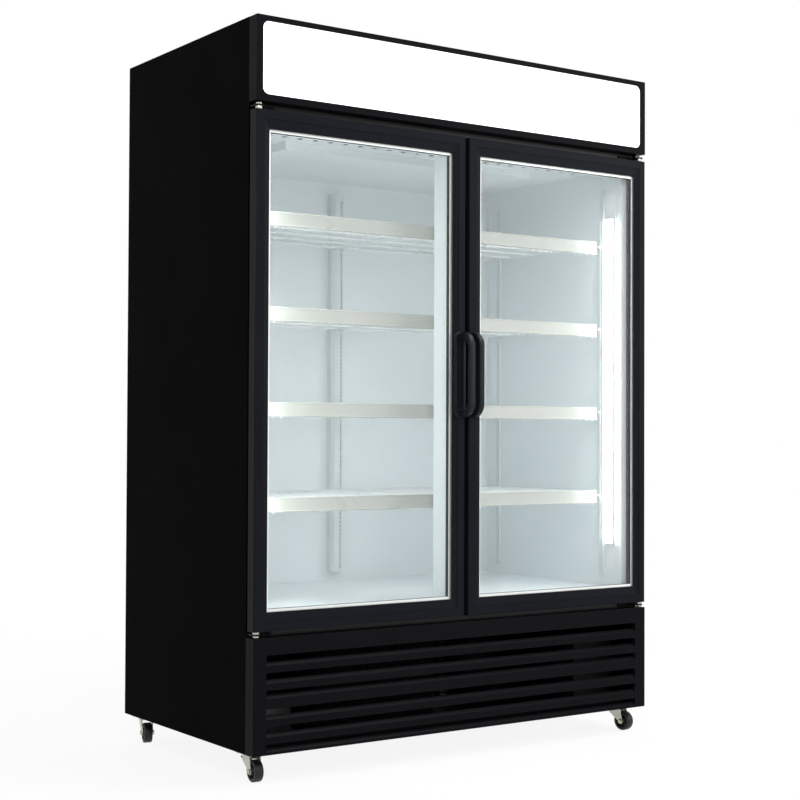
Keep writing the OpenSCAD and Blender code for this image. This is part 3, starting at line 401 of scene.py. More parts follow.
# %% Black mouldings
handle_black = mottled(
    "satin_abs_black", "#15171b", "#0e1013", rough=0.36, peel_mm=0.9, peel_depth_mm=0.03,
    patch_mm=50, IOR=1.53, Specular_IOR_Level=0.16,
)
nylon_black = mottled(
    "caster_nylon_black", "#1a1b1d", "#0f1011", rough=0.46, peel_mm=1.3, peel_depth_mm=0.05,
    patch_mm=18, IOR=1.53, Specular_IOR_Level=0.3,
)
polypropylene = mottled(
    "polypropylene_black", "#151618", "#0e0f11", rough=0.48, peel_mm=1.1, peel_depth_mm=0.03,
    patch_mm=45, IOR=1.49, Specular_IOR_Level=0.2,
)
gasket_black = mottled(
    "gasket_soft_vinyl", "#1d1e21", "#141517", rough=0.7, peel_mm=1.0, peel_depth_mm=0.04,
    patch_mm=70, IOR=1.52, Specular_IOR_Level=0.25,
)
print("four black mouldings, from", handle_black.name, "to", gasket_black.name)

# %% [markdown]
# ## Bare metals
#
# Galvanised sheet shows spangle, the crystals that zinc grows as it freezes, some ten
# millimetres across. A Voronoi pattern draws such grains, each with a grey of its own.
# Plated bolts and forks have a fine, cloudy zinc skin. Copper tube is bright where it was
# drawn and browner where it has been touched.

# %% Zinc, aluminium and copper
METAL_SWING = 0.08


def metal(name, light, dark, rough, grain_mm, stretch=(1.0, 1.0, 1.0), cells=False):
    """A bare metal: grains of their own grey, drawn out along one direction where it was rolled."""
    finish, shader = new_finish(name, Metallic=1.0)
    place = add_node(finish, "ShaderNodeTexCoord").outputs["Object"]
    drawn = add_node(finish, "ShaderNodeMapping", {"Vector": place, "Scale": stretch}).outputs["Vector"]
    if cells:
        grain = add_node(
            finish, "ShaderNodeTexVoronoi", {"Vector": drawn, "Scale": 1000 / grain_mm, "Randomness": 1.0},
        ).outputs["Color"]
        grain = add_node(finish, "ShaderNodeSeparateColor", {"Color": grain}).outputs["Red"]
    else:
        grain = add_node(
            finish, "ShaderNodeTexNoise", {"Vector": drawn, "Scale": 1000 / grain_mm, "Detail": 4.0},
        ).outputs["Fac"]
    tint = add_node(
        finish, "ShaderNodeMix", {"Factor": grain, "A": srgb(dark), "B": srgb(light)}, data_type="RGBA",
    ).outputs["Result"]
    sheen = add_node(
        finish, "ShaderNodeMapRange",
        {"Value": grain, "To Min": rough - METAL_SWING, "To Max": rough + METAL_SWING},
    ).outputs["Result"]
    skin = add_node(
        finish, "ShaderNodeBump", {"Height": grain, "Strength": 0.25, "Distance": 0.03 * MM},
    ).outputs["Normal"]
    feed(finish, shader, "Base Color", tint)
    feed(finish, shader, "Roughness", sheen)
    feed(finish, shader, "Normal", skin)
    return finish


galvanised = metal("galvanised_spangle", "#b4b7b9", "#8c8f92", rough=0.42, grain_mm=14, cells=True)
zinc_plate = metal("zinc_plate", "#c9c8bd", "#a4a397", rough=0.32, grain_mm=5)
fin_aluminium = metal("fin_aluminium", "#c6cacd", "#a2a7ab", rough=0.36, grain_mm=6, stretch=(1, 1, 0.1))
spacer_aluminium = metal(
    "spacer_aluminium", "#f4f6f3", "#e6e9e5", rough=0.5, grain_mm=3, stretch=(1, 1, 0.05),
)
copper = metal("copper_tube", "#c98255", "#8f5735", rough=0.34, grain_mm=22)
screw_zinc = metal("screw_zinc", "#bdbcb2", "#97968b", rough=0.36, grain_mm=3)
print("six bare metals, from", galvanised.name, "to", screw_zinc.name)

# %% [markdown]
# Four of these metals change halfway. The spacer bars between the panes are bright on the
# face that looks out and dark behind it, which is painted shade between the panes. The
# copper lines wear black foam sleeves below the deck, where they would sweat. The screws
# of the hinge brackets, right at the front, are blackened, while all others are bare zinc.
# The galvanised back is bright outside and dark inside, a painted shade so that nothing
# shines behind the louvres; the drain pan lies inside it and is dark all over.

# %% Metals with a dark part
def darken_beyond(finish, axis, limit, comparison, dark):
    """Turns a finish dark where the solid's own X, Y or Z passes a limit."""
    shader = finish.node_tree.nodes["Principled BSDF"]
    bright = shader.inputs["Base Color"].links[0].from_socket
    place = add_node(finish, "ShaderNodeTexCoord").outputs["Object"]
    along = add_node(finish, "ShaderNodeSeparateXYZ", {"Vector": place}).outputs[axis]
    beyond = combine(finish, comparison, along, limit)
    feed(finish, shader, "Base Color", add_node(
        finish, "ShaderNodeMix", {"Factor": beyond, "A": bright, "B": srgb(dark)}, data_type="RGBA",
    ).outputs["Result"])


SPACER_LIT_SKIN = 1 * MM
BRACKET_DEPTH = 4 * MM
BACK_LIT_SKIN = 0.7 * MM
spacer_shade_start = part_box("left_door_spacers")[0].y + SPACER_LIT_SKIN
bracket_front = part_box("face_frame")[0].y + BRACKET_DEPTH
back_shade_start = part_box("rear_panel")[1].y - BACK_LIT_SKIN
# painted shade: the spacer bars go dark behind their front face
darken_beyond(spacer_aluminium, "Y", spacer_shade_start, "GREATER_THAN", "#141516")
darken_beyond(copper, "Z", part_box("base_frame")[1].z, "LESS_THAN", "#0b0b0c")
darken_beyond(screw_zinc, "Y", bracket_front, "LESS_THAN", "#0d0d0e")
# painted shade: the galvanised goes dark inside the back skin, on the back panels and all over the drain
# pan
darken_beyond(galvanised, "Y", back_shade_start, "LESS_THAN", "#0b0b0c")
print("spacer bars, copper lines, screws and the back have a dark part")

# %% [markdown]
# The door frames are black anodised aluminium. The dye sits in the metal itself, so the
# sheen is that of metal under a dark tint, and the die leaves faint lines along each bar.
# A noise that is stretched a hundred times along X and Z draws those lines on the level
# bars and on the upright ones.

# %% Black anodised aluminium
door_black, door_shader = new_finish(
    "anodised_black_extrusion", Metallic=0.0, IOR=1.6, Specular_IOR_Level=0.03,
)
door_place = add_node(door_black, "ShaderNodeTexCoord").outputs["Object"]
die_lines = add_node(
    door_black, "ShaderNodeTexNoise",
    {
        "Vector": add_node(
            door_black, "ShaderNodeMapping", {"Vector": door_place, "Scale": (0.02, 1.0, 0.02)},
        ).outputs["Vector"],
        "Scale": 700.0, "Detail": 3.0,
    },
).outputs["Fac"]
door_patches = add_node(
    door_black, "ShaderNodeTexNoise", {"Vector": door_place, "Scale": 3.5, "Detail": 4.0},
).outputs["Fac"]
door_tint = add_node(
    door_black, "ShaderNodeMix",
    {"Factor": door_patches, "A": srgb("#0f1115"), "B": srgb("#171a1f")}, data_type="RGBA",
).outputs["Result"]
door_sheen = add_node(
    door_black, "ShaderNodeMapRange", {"Value": die_lines, "To Min": 0.26, "To Max": 0.42},
).outputs["Result"]
door_skin = add_node(
    door_black, "ShaderNodeBump", {"Height": die_lines, "Strength": 0.3, "Distance": 0.02 * MM},
).outputs["Normal"]
feed(door_black, door_shader, "Base Color", door_tint)
feed(door_black, door_shader, "Roughness", door_sheen)
feed(door_black, door_shader, "Normal", door_skin)
print(door_black.name, "has", len(door_black.node_tree.nodes), "nodes")

# %% [markdown]
# The frame round the door openings is painted twice. Its front is black, like the doors,
# and towards the openings it turns to the white of the liner. The edge of the black follows
# the gasket of the door, so the change is drawn from the object's own coordinates: black in
# front, outside the two openings, and white elsewhere.

# %% Two-tone face frame
def two_tone(name, opening_low, opening_high, mullion_half, front_depth):
    """White enamel, with black satin paint on the front outside the openings."""
    finish = mottled(
        name, "#e2e9eb", "#d3dcdf", rough=0.36, peel_mm=3.2, peel_depth_mm=0.05,
        patch_mm=420, IOR=POLYESTER_IOR, Specular_IOR_Level=0.4,
    )
    shader = finish.node_tree.nodes["Principled BSDF"]
    white = shader.inputs["Base Color"].links[0].from_socket
    place = add_node(finish, "ShaderNodeTexCoord").outputs["Object"]
    axes = add_node(finish, "ShaderNodeSeparateXYZ", {"Vector": place}).outputs
    side = combine(finish, "ABSOLUTE", axes["X"])
    tests = (
        (side, "GREATER_THAN", mullion_half), (side, "LESS_THAN", opening_high.x),
        (axes["Z"], "GREATER_THAN", opening_low.z), (axes["Z"], "LESS_THAN", opening_high.z),
    )
    inside = 1.0
    for value, comparison, limit in tests:
        inside = combine(finish, "MULTIPLY", inside, combine(finish, comparison, value, limit))
    in_front = combine(finish, "LESS_THAN", axes["Y"], front_depth)
    painted = combine(finish, "MULTIPLY", in_front, combine(finish, "SUBTRACT", 1.0, inside))
    feed(finish, shader, "Base Color", add_node(
        finish, "ShaderNodeMix", {"Factor": painted, "A": white, "B": srgb("#0c0c0e")}, data_type="RGBA",
    ).outputs["Result"])
    return finish


gasket_low, gasket_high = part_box("right_door_gasket")
TOP_EDGE = 9 * MM
SIDE_EDGE = 24 * MM
MULLION_HALF = 30 * MM
PAINT_DEPTH = 6 * MM
frame_two_tone = two_tone(
    "two_tone_face_frame",
    Vector((0, 0, gasket_low.z + TOP_EDGE)),
    Vector((gasket_high.x - SIDE_EDGE, 0, gasket_high.z - TOP_EDGE)),
    MULLION_HALF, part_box("face_frame")[0].y + PAINT_DEPTH,
)
print(
    frame_two_tone.name, "turns white", round(TOP_EDGE / MM), "and", round(SIDE_EDGE / MM),
    "mm inside the gasket's outer edge",
)

# %% [markdown]
# ## Glass, acrylic and light
#
# Three panes of clear float glass close each door. One sees through them straight, so
# they are nearly transparent, and each of their six surfaces adds only two hundredths of
# its own look. The sign is white acrylic with two tubes behind it, and the lamps inside are
# white strips under a frosted cover. These shine by themselves.

# %% Glass and lit plastics
pane_glass, pane_shader = new_finish(
    "float_glass", Base_Color=srgb("#f4fbfa"), IOR=1.5, Alpha=0.02, Specular_IOR_Level=0.5,
)
pane_place = add_node(pane_glass, "ShaderNodeTexCoord").outputs["Object"]
pane_film = add_node(
    pane_glass, "ShaderNodeTexNoise", {"Vector": pane_place, "Scale": 3.0, "Detail": 4.0},
).outputs["Fac"]
feed(pane_glass, pane_shader, "Roughness", add_node(
    pane_glass, "ShaderNodeMapRange", {"Value": pane_film, "To Min": 0.01, "To Max": 0.06},
).outputs["Result"])


def lit_plastic(name, glow, strength, drift, patch_mm):
    """A white plastic lit from behind, whose glow falls off a little from place to place."""
    finish, shader = new_finish(
        name, Base_Color=srgb("#f6f7f6"), Roughness=0.45, IOR=1.49,
        Emission_Color=srgb(glow), Emission_Strength=strength,
    )
    place = add_node(finish, "ShaderNodeTexCoord").outputs["Object"]
    cloud = add_node(
        finish, "ShaderNodeTexNoise", {"Vector": place, "Scale": 1000 / patch_mm, "Detail": 1.0},
    ).outputs["Fac"]
    level = add_node(
        finish, "ShaderNodeMapRange",
        {
            "Value": cloud, "From Min": NOISE_LOW, "From Max": NOISE_HIGH,
            "To Min": strength * (1 - drift), "To Max": strength,
        },
    ).outputs["Result"]
    feed(finish, shader, "Emission Strength", level)
    return finish


sign_white = lit_plastic("opal_acrylic_sign", "#ffffff", strength=1.0, drift=0.04, patch_mm=300)
diffuser_white = lit_plastic("frosted_polycarbonate", "#fbfeff", strength=24.0, drift=0.1, patch_mm=200)
print("lit plastics:", sign_white.name, diffuser_white.name)

# %% [markdown]
# Between the skins, the walls are filled with rigid polyurethane foam. It hardly shows,
# but a freezer that is cut open or taken apart shows its small closed cells.

# %% Foam
foam_finish, foam_shader = new_finish("polyurethane_foam", Roughness=0.9, IOR=1.4)
foam_place = add_node(foam_finish, "ShaderNodeTexCoord").outputs["Object"]
FOAM_CELL_MM = 2
foam_cells = add_node(
    foam_finish, "ShaderNodeTexVoronoi", {"Vector": foam_place, "Scale": 1000 / FOAM_CELL_MM},
).outputs["Distance"]
feed(foam_finish, foam_shader, "Base Color", add_node(
    foam_finish, "ShaderNodeMix", {"Factor": foam_cells, "A": srgb("#efe2b4"), "B": srgb("#d6c48c")},
    data_type="RGBA",
).outputs["Result"])
feed(foam_finish, foam_shader, "Normal", add_node(
    foam_finish, "ShaderNodeBump", {"Height": foam_cells, "Strength": 0.8, "Distance": 0.3 * MM},
).outputs["Normal"])
print(foam_finish.name, "cells are", FOAM_CELL_MM, "mm across")

# %% [markdown]
# ## Finishes for the solids
#
# Most solids keep their shape and only need a finish. Folded sheet and extrusions have
# slightly rounded edges, which catch a thin line of light, and without that line a black
# object looks cut from paper. The solids arrive as loose triangles, so a Weld modifier
# joins them, a Decimate modifier melts flat triangles into whole faces, and a Bevel
# modifier then rounds the edges. The solid's own mesh stays as it was.

# %% Dress a solid
FLAT_ANGLE = math.radians(1)
SHARP_ANGLE = math.radians(50)
EDGE_STEPS = 2


def dress(node, finish, round_mm):
    """Gives a solid its finish and, if asked, rounds its sharp edges with modifiers."""
    solid = cad_nodes[node]
    solid.data.materials.clear()
    solid.data.materials.append(finish)
    if round_mm:
        weld = solid.modifiers.new("weld", "WELD")
        weld.merge_threshold = SAME_PLACE
        flat = solid.modifiers.new("whole_faces", "DECIMATE")
        flat.decimate_type = "DISSOLVE"
        flat.angle_limit = FLAT_ANGLE
        edge = solid.modifiers.new("rounded_edges", "BEVEL")
        edge.width = round_mm * MM
        edge.segments = EDGE_STEPS
        edge.limit_method = "ANGLE"
        edge.angle_limit = SHARP_ANGLE
        edge.use_clamp_overlap = True


print("edges sharper than", round(math.degrees(SHARP_ANGLE)), "degrees are rounded")

# %% Dress them all
SOLID_FINISHES = {
    "left_side_panel": (shaded_panel_black, 0.6), "right_side_panel": (shaded_panel_black, 0.6),
    "roof_panel": (shaded_panel_black, 0.6), "rear_panel": (galvanised, 0.0),
    # painted shade: the base frame takes the black enamel to keep the machine bay dark behind the grille
    "rear_louvre_panel": (galvanised, 0.4), "base_frame": (compressor_black, 0.0),
    "foam_walls": (foam_finish, 0.0), "inner_liner": (liner_white, 0.0),
    "face_frame": (frame_two_tone, 0.0), "centre_mullion": (frame_two_tone, 0.8),
    "header_frame": (front_black, 0.8), "header_sign": (sign_white, 0.0),
    "header_lamps": (lamp_white, 0.0), "front_grille": (front_black, 0.5),
    "compressor": (compressor_black, 0.0), "condenser_coil": (compressor_black, 0.0),
    "condenser_shroud": (polypropylene, 0.5), "drain_pan": (galvanised, 0.4),
    "refrigerant_lines": (copper, 0.0), "evaporator_cover": (liner_white, 0.0),
    "evaporator_coil": (fin_aluminium, 0.0), "fan_motors": (motor_grey, 0.0),
    "shelf_pilasters": (pilaster_white, 0.0), "shelf_clips": (pilaster_white, 0.4),
    "price_rails": (rail_grey, 0.4), "lamp_housings": (lamp_white, 0.5),
    "lamp_diffusers": (diffuser_white, 0.0), "hinge_brackets": (bracket_black, 0.6),
    "hinge_pins": (zinc_plate, 0.4), "caster_plates": (zinc_plate, 0.5),
    "control_box": (polypropylene, 0.6), "panel_screws": (screw_zinc, 0.3),
    "front_left_fork": (zinc_plate, 0.4), "front_right_fork": (zinc_plate, 0.4),
    "rear_left_fork": (zinc_plate, 0.4), "rear_right_fork": (zinc_plate, 0.4),
    "front_left_brake": (zinc_plate, 0.4), "front_right_brake": (zinc_plate, 0.4),
    "condenser_fan": (polypropylene, 0.0), "left_evaporator_fan": (polypropylene, 0.0),
    "right_evaporator_fan": (polypropylene, 0.0),
}
for side in ("left", "right"):
    SOLID_FINISHES[side + "_door_frame"] = (door_black, 0.7)
    SOLID_FINISHES[side + "_door_glass"] = (pane_glass, 0.0)
    SOLID_FINISHES[side + "_door_spacers"] = (spacer_aluminium, 0.0)
    SOLID_FINISHES[side + "_door_gasket"] = (gasket_black, 0.0)
    SOLID_FINISHES[side + "_door_handle"] = (handle_black, 0.0)
for level in range(1, 5):
    SOLID_FINISHES[f"shelf_level_{level}"] = (wire_white, 0.0)
for corner in ("front_left", "front_right", "rear_left", "rear_right"):
    SOLID_FINISHES[corner + "_wheel"] = (nylon_black, 0.0)
for node, (finish, round_mm) in SOLID_FINISHES.items():
    dress(node, finish, round_mm)
print(len(SOLID_FINISHES), "of", len(cad_nodes), "solids have a finish")

# %% [markdown]
# ## The loop handles
#
# Each door has a moulded loop: a slim grip stands out from the door on two curved ends,
# which run into a flat ring that is screwed to the stile. A curve with a bevel would give
# a round rod, and the grip is a flat one with soft edges. So a block gets two round front
# corners, a second rounded block cuts the room for the fingers, and the long edges are
# bevelled. The ring comes from a flat block in the same way. One handle is made for the
# left door and mirrored for the right.

# %% Round and cut a block
def rounded_block(low, high, corner, steps, test):
    """A block whose edges are rounded where the test of their two end points passes."""
    clear_selection()
    bpy.ops.mesh.primitive_cube_add(size=1, location=(Vector(low) + Vector(high)) / 2)
    block = bpy.context.object
    block.scale = Vector(high) - Vector(low)
    bpy.ops.object.transform_apply(location=True, rotation=True, scale=True)
    return soften_edges(block, corner, steps, test)


def soften_edges(piece, width, steps, test):
    """Bevels the edges of a piece whose two end points pass the test."""
    select_only(piece)
    bpy.ops.object.mode_set(mode="EDIT")
    bpy.ops.mesh.select_mode(type="EDGE")
    bpy.ops.mesh.select_all(action="DESELECT")
    bpy.ops.object.mode_set(mode="OBJECT")
    points = piece.data.vertices
    for edge in piece.data.edges:
        edge.select = bool(test(*(points[i].co for i in edge.vertices)))
    bpy.ops.object.mode_set(mode="EDIT")
    bpy.ops.mesh.bevel(offset=width, segments=steps, affect="EDGES", clamp_overlap=True)
    bpy.ops.object.mode_set(mode="OBJECT")
    return piece


def cut_away(piece, cutter):
    """Takes one piece away from another and throws the cutter out."""
    cut = piece.modifiers.new("cut", "BOOLEAN")
    cut.operation = "DIFFERENCE"
    cut.solver = "EXACT"
    cut.object = cutter
    select_only(piece)
    bpy.ops.object.modifier_apply(modifier=cut.name)
    bpy.data.objects.remove(cutter)
    tidy_shell(piece)


print("a block can be rounded, cut and softened")

# %% Shape the grip
loop_low, loop_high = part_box("left_door_handle")
GRIP_THICK = 15 * MM
LOOP_FOOT = 22 * MM
OUTER_CORNER = 40 * MM
OUTER_STEPS = 14
INNER_STEPS = 10
LOOP_EDGE = 4.5 * MM
LOOP_EDGE_STEPS = 5
CUT_PAST = 10 * MM
TINY = 0.1 * MM
loop = rounded_block(
    loop_low, loop_high, OUTER_CORNER, OUTER_STEPS,
    lambda a, b: abs(a.x - b.x) > TINY and a.y < loop_low.y + TINY,
)
finger_low = Vector((loop_low.x - CUT_PAST, loop_low.y + GRIP_THICK, loop_low.z + LOOP_FOOT))
finger_high = Vector((loop_high.x + CUT_PAST, loop_high.y + CUT_PAST, loop_high.z - LOOP_FOOT))
cut_away(loop, rounded_block(
    finger_low, finger_high, OUTER_CORNER - GRIP_THICK, INNER_STEPS,
    lambda a, b: abs(a.x - b.x) > TINY and a.y < finger_low.y + TINY,
))
soften_edges(
    loop, LOOP_EDGE, LOOP_EDGE_STEPS,
    lambda a, b: min(abs(a.x - x) + abs(b.x - x) for x in (loop_low.x, loop_high.x)) < TINY
    and min(a.y, b.y) < loop_high.y - TINY,
)
print("loop", [round(v / MM, 1) for v in loop_high - loop_low], "mm")

# %% Add the ring on the stile
RING_WIDE = 40 * MM
RING_THICK = 3.5 * MM
RING_BAND = 10 * MM
RING_CORNER = 15 * MM
HOLE_CORNER = 8.9 * MM
RING_STEPS = 8
HOLE_PAST = 5 * MM
EDGE_GAP = 1 * MM
RIM_EDGE = 1.2 * MM
SMOOTH_ANGLE = math.radians(40)


def through_thickness(a, b):
    """Tells whether an edge runs from the front of the ring to its back."""
    return abs(a.y - b.y) > TINY


door_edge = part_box("left_door_frame")[1].x - EDGE_GAP
ring_low = Vector((door_edge - RING_WIDE, loop_high.y - RING_THICK, loop_low.z))
ring_high = Vector((door_edge, loop_high.y, loop_high.z))
ring = rounded_block(ring_low, ring_high, RING_CORNER, RING_STEPS, through_thickness)
hole_low = ring_low + Vector((RING_BAND, -HOLE_PAST, LOOP_FOOT))
hole_high = ring_high + Vector((-RING_BAND, HOLE_PAST, -LOOP_FOOT))
cut_away(ring, rounded_block(hole_low, hole_high, HOLE_CORNER, RING_STEPS, through_thickness))
ring_edge = ring.modifiers.new("ring_edge", "BEVEL")
ring_edge.width = RIM_EDGE
ring_edge.segments = EDGE_STEPS
ring_edge.angle_limit = SMOOTH_ANGLE
select_only(ring)
bpy.ops.object.modifier_apply(modifier=ring_edge.name)
handle = join_pieces([loop, ring])
tidy_shell(handle)
bpy.ops.object.shade_smooth_by_angle(angle=SMOOTH_ANGLE)
right_handle = copy_piece(handle, Matrix.Scale(-1, 4, (1, 0, 0)))
finish_piece(handle, "left_loop_handle", handle_black, "left_door", "handle", "left_door_handle")
finish_piece(right_handle, "right_loop_handle", handle_black, "right_door", "handle", "right_door_handle")

# %% [markdown]
# ## The wire shelves
#
# A freezer shelf is welded from drawn wire. A thick wire is bent into a rim with round
# corners, four rods cross it from side to side, and fine wires lie on top from back to
# front. At the front each fine wire is bent down, and its end peeps out under the price
# rail as a row of dots. One wire of each kind is swept along its path, Array modifiers
# repeat it, and the finished shelf is mirrored for the other bay and copied for each level.

# %% Sizes of a shelf
shelf_low, shelf_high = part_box("shelf_level_1")
RIM_WIRE = 7 * MM
ROD_WIRE = 6 * MM
FINE_WIRE = 4 * MM
WELD = 0.4 * MM
HALF_SHELF_GAP = 4 * MM
THICK_SIDES = 10
FINE_SIDES = 8
shelf_left = shelf_low.x
shelf_right = -HALF_SHELF_GAP
shelf_front = shelf_low.y
shelf_back = shelf_high.y
shelf_top = shelf_high.z
rim_z = shelf_top - FINE_WIRE - RIM_WIRE / 2 + WELD
rod_z = shelf_top - FINE_WIRE - ROD_WIRE / 2 + WELD
QUARTER = math.radians(90)
FACE_X = (0, QUARTER, 0)
FACE_Y = (QUARTER, 0, 0)
shelf_size = (shelf_right - shelf_left, shelf_back - shelf_front)
print("a shelf is", round(shelf_size[0] / MM), "by", round(shelf_size[1] / MM), "mm")

# %% Sweep the rim
RIM_CORNER = 14 * MM
left, right = shelf_left + RIM_WIRE / 2, shelf_right - RIM_WIRE / 2
front, back = shelf_front + RIM_WIRE / 2, shelf_back - RIM_WIRE / 2
start = (left + right) / 2
rim = ring_at((start, front, rim_z), RIM_WIRE / 2, THICK_SIDES, FACE_X)
sweep([
    ("run", (right - RIM_CORNER - start, 0, 0)),
    ("turn", (right - RIM_CORNER, front + RIM_CORNER, 0), (0, 0, 1), QUARTER),
    ("run", (0, back - front - 2 * RIM_CORNER, 0)),
    ("turn", (right - RIM_CORNER, back - RIM_CORNER, 0), (0, 0, 1), QUARTER),
    ("run", (left - right + 2 * RIM_CORNER, 0, 0)),
    ("turn", (left + RIM_CORNER, back - RIM_CORNER, 0), (0, 0, 1), QUARTER),
    ("run", (0, front - back + 2 * RIM_CORNER, 0)),
    ("turn", (left + RIM_CORNER, front + RIM_CORNER, 0), (0, 0, 1), QUARTER),
    ("run", (start - left - RIM_CORNER, 0, 0)),
])
tidy_shell(rim)
print("rim", len(rim.data.vertices), "points")

# %% Sweep one fine wire and one rod, and repeat them
FINE_PITCH = 25 * MM
FINE_BEND = 4 * MM
FINE_DROP = 41 * MM


def repeat_wire(wire, count, step):
    """Repeats a wire with an Array modifier, by a fixed step."""
    repeat = wire.modifiers.new("repeat", "ARRAY")
    repeat.count = count
    repeat.use_relative_offset = False
    repeat.use_constant_offset = True
    repeat.constant_offset_displace = step
    select_only(wire)
    bpy.ops.object.modifier_apply(modifier=repeat.name)


fine_count = int((shelf_right - shelf_left - 2 * RIM_WIRE) / FINE_PITCH)
first_fine = shelf_left + ((shelf_right - shelf_left) - (fine_count - 1) * FINE_PITCH) / 2
fine_z = shelf_top - FINE_WIRE / 2
front_y = shelf_front + RIM_WIRE + FINE_WIRE / 2

fine = ring_at((first_fine, shelf_back - MM, fine_z), FINE_WIRE / 2, FINE_SIDES, FACE_Y)
bpy.ops.mesh.edge_face_add()
sweep([
    ("run", (0, front_y + FINE_BEND - shelf_back + MM, 0)),
    ("turn", (0, front_y + FINE_BEND, fine_z - FINE_BEND), (1, 0, 0), QUARTER),
    ("run", (0, 0, FINE_BEND + FINE_WIRE / 2 - FINE_DROP)),
])
tidy_shell(fine)
repeat_wire(fine, fine_count, (FINE_PITCH, 0, 0))

RODS = 4
rod_pitch = (shelf_back - shelf_front) / (RODS + 1)
rod = ring_at((left, shelf_front + rod_pitch, rod_z), ROD_WIRE / 2, THICK_SIDES, FACE_X)
bpy.ops.mesh.edge_face_add()
sweep([("run", (right - left, 0, 0))])
tidy_shell(rod)
repeat_wire(rod, RODS, (0, rod_pitch, 0))
print(fine_count, "fine wires and", RODS, "rods")

# %% Put the shelves in
bay_shelf = join_pieces([rim, fine, rod])
other_bay = copy_piece(bay_shelf, Matrix.Scale(-1, 4, (1, 0, 0)))
shelf_pair = join_pieces([bay_shelf, other_bay])
bpy.ops.object.shade_smooth_by_angle(angle=SHARP_ANGLE)
for level in range(2, 5):
    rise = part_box(f"shelf_level_{level}")[1].z - shelf_top
    wires = copy_piece(shelf_pair, Matrix.Translation((0, 0, rise)))
    finish_piece(
        wires, f"wire_shelves_{level}", wire_white, "cabinet", "white_wire", f"shelf_level_{level}",
    )
finish_piece(shelf_pair, "wire_shelves_1", wire_white, "cabinet", "white_wire", "shelf_level_1")

# %% [markdown]
# ## The caster wheels
#
# A moulded caster wheel is turned work: a bore, a hub, a thin web, a thick rim and a
# tread with rounded shoulders. Its half section is drawn point by point and spun round
# the axle, as on a lathe, and small radii are drawn into the section itself, so that the
# shoulders shade softly. Ribs stiffen the web of the real wheel, so six are set into each
# side. One wheel is made at the origin and copied to each corner with its caster's turn.

# %% Turn a wheel
wheel_low, wheel_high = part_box("front_right_wheel")
TREAD = (wheel_high.z - wheel_low.z) / 2
HALF_WHEEL = 12.5 * MM
BORE = 4.05 * MM
HUB = 11 * MM
WEB_HALF = 4 * MM
RIM_IN = TREAD - 9 * MM
SHOULDER = 4 * MM
WHEEL_SIDES = 64
shoulder_steps = [math.radians(a) for a in (0, 22.5, 45, 67.5, 90)]
upper = [
    (BORE, HALF_WHEEL), (HUB - MM, HALF_WHEEL), (HUB, HALF_WHEEL - MM), (HUB + MM, WEB_HALF + MM),
    (HUB + 2 * MM, WEB_HALF), (RIM_IN - 1.5 * MM, WEB_HALF), (RIM_IN - 0.5 * MM, WEB_HALF + MM),
    (RIM_IN, HALF_WHEEL - MM), (RIM_IN + MM, HALF_WHEEL),
] + [
    (TREAD - SHOULDER + SHOULDER * math.sin(a), HALF_WHEEL - SHOULDER + SHOULDER * math.cos(a))
    for a in shoulder_steps
]
section = upper + [(radius, -height) for radius, height in reversed(upper)]
section.append(section[0])
wheel = lathe(section, WHEEL_SIDES, (0, 0, 0), (0, 0, 0))
print("wheel section has", len(section), "points, tread radius", round(TREAD / MM, 2), "mm")

# %% Ribs in the web
RIBS = 6
RIB_THICK = 1.8 * MM
RIB_RECESS = 3 * MM
RIB_EDGE = 0.5 * MM
ribs = []
for k in range(RIBS):
    clear_selection()
    bpy.ops.mesh.primitive_cube_add(size=1, location=((HUB + RIM_IN) / 2, 0, 0))
    rib = bpy.context.object
    rib.scale = (RIM_IN - HUB, RIB_THICK, 2 * (HALF_WHEEL - RIB_RECESS))
    bpy.ops.object.transform_apply(location=True, rotation=True, scale=True)
    soft = rib.modifiers.new("soft", "BEVEL")
    soft.width = RIB_EDGE
    soft.segments = EDGE_STEPS
    bpy.ops.object.modifier_apply(modifier=soft.name)
    rib.data.transform(Matrix.Rotation(math.tau * k / RIBS, 4, "Z"))
    ribs.append(rib)
wheel = join_pieces([wheel] + ribs)
bpy.ops.object.shade_smooth_by_angle(angle=SMOOTH_ANGLE)
print(RIBS, "ribs on each side of the web")

# %% Set the wheels on their axles
CASTER_TURN = {"front_left": -4, "front_right": 8, "rear_left": -17, "rear_right": 8}
for corner, turned in CASTER_TURN.items():
    low_corner, high_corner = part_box(corner + "_wheel")
    to_place = (
        Matrix.Translation((low_corner + high_corner) / 2)
        @ Matrix.Rotation(math.radians(turned), 4, "Z")
        @ Matrix.Rotation(QUARTER, 4, "Y")
    )
    corner_wheel = copy_piece(wheel, to_place)
    node = corner + "_wheel"
    finish_piece(corner_wheel, corner + "_caster_wheel", nylon_black, node, "wheel", node)
bpy.data.objects.remove(wheel)

# %% [markdown]
# ## The fans
#
# A fan blade is a thin sheet that is steep at the hub and flatter at its tip, with a
# broad, rounded outer end. It starts as a small grid, is tapered and twisted by moving
# its rows, gets its thickness from Solidify and its soft edge from Subdivision, and is
# then copied round a turned hub with a domed nose. The two evaporator fans and the
# condenser fan are the same shape at two sizes.

# %% Model a fan
FAN_BLADES = 5
HUB_SHARE = 0.28
ROOT_SHARE = 0.85
TIP_SHARE = 0.985
ROOT_PITCH, TIP_PITCH = 40, 24
DEPTH_SHARE = 0.92
BLADE_THICK = 1.6 * MM
HUB_SIDES = 48


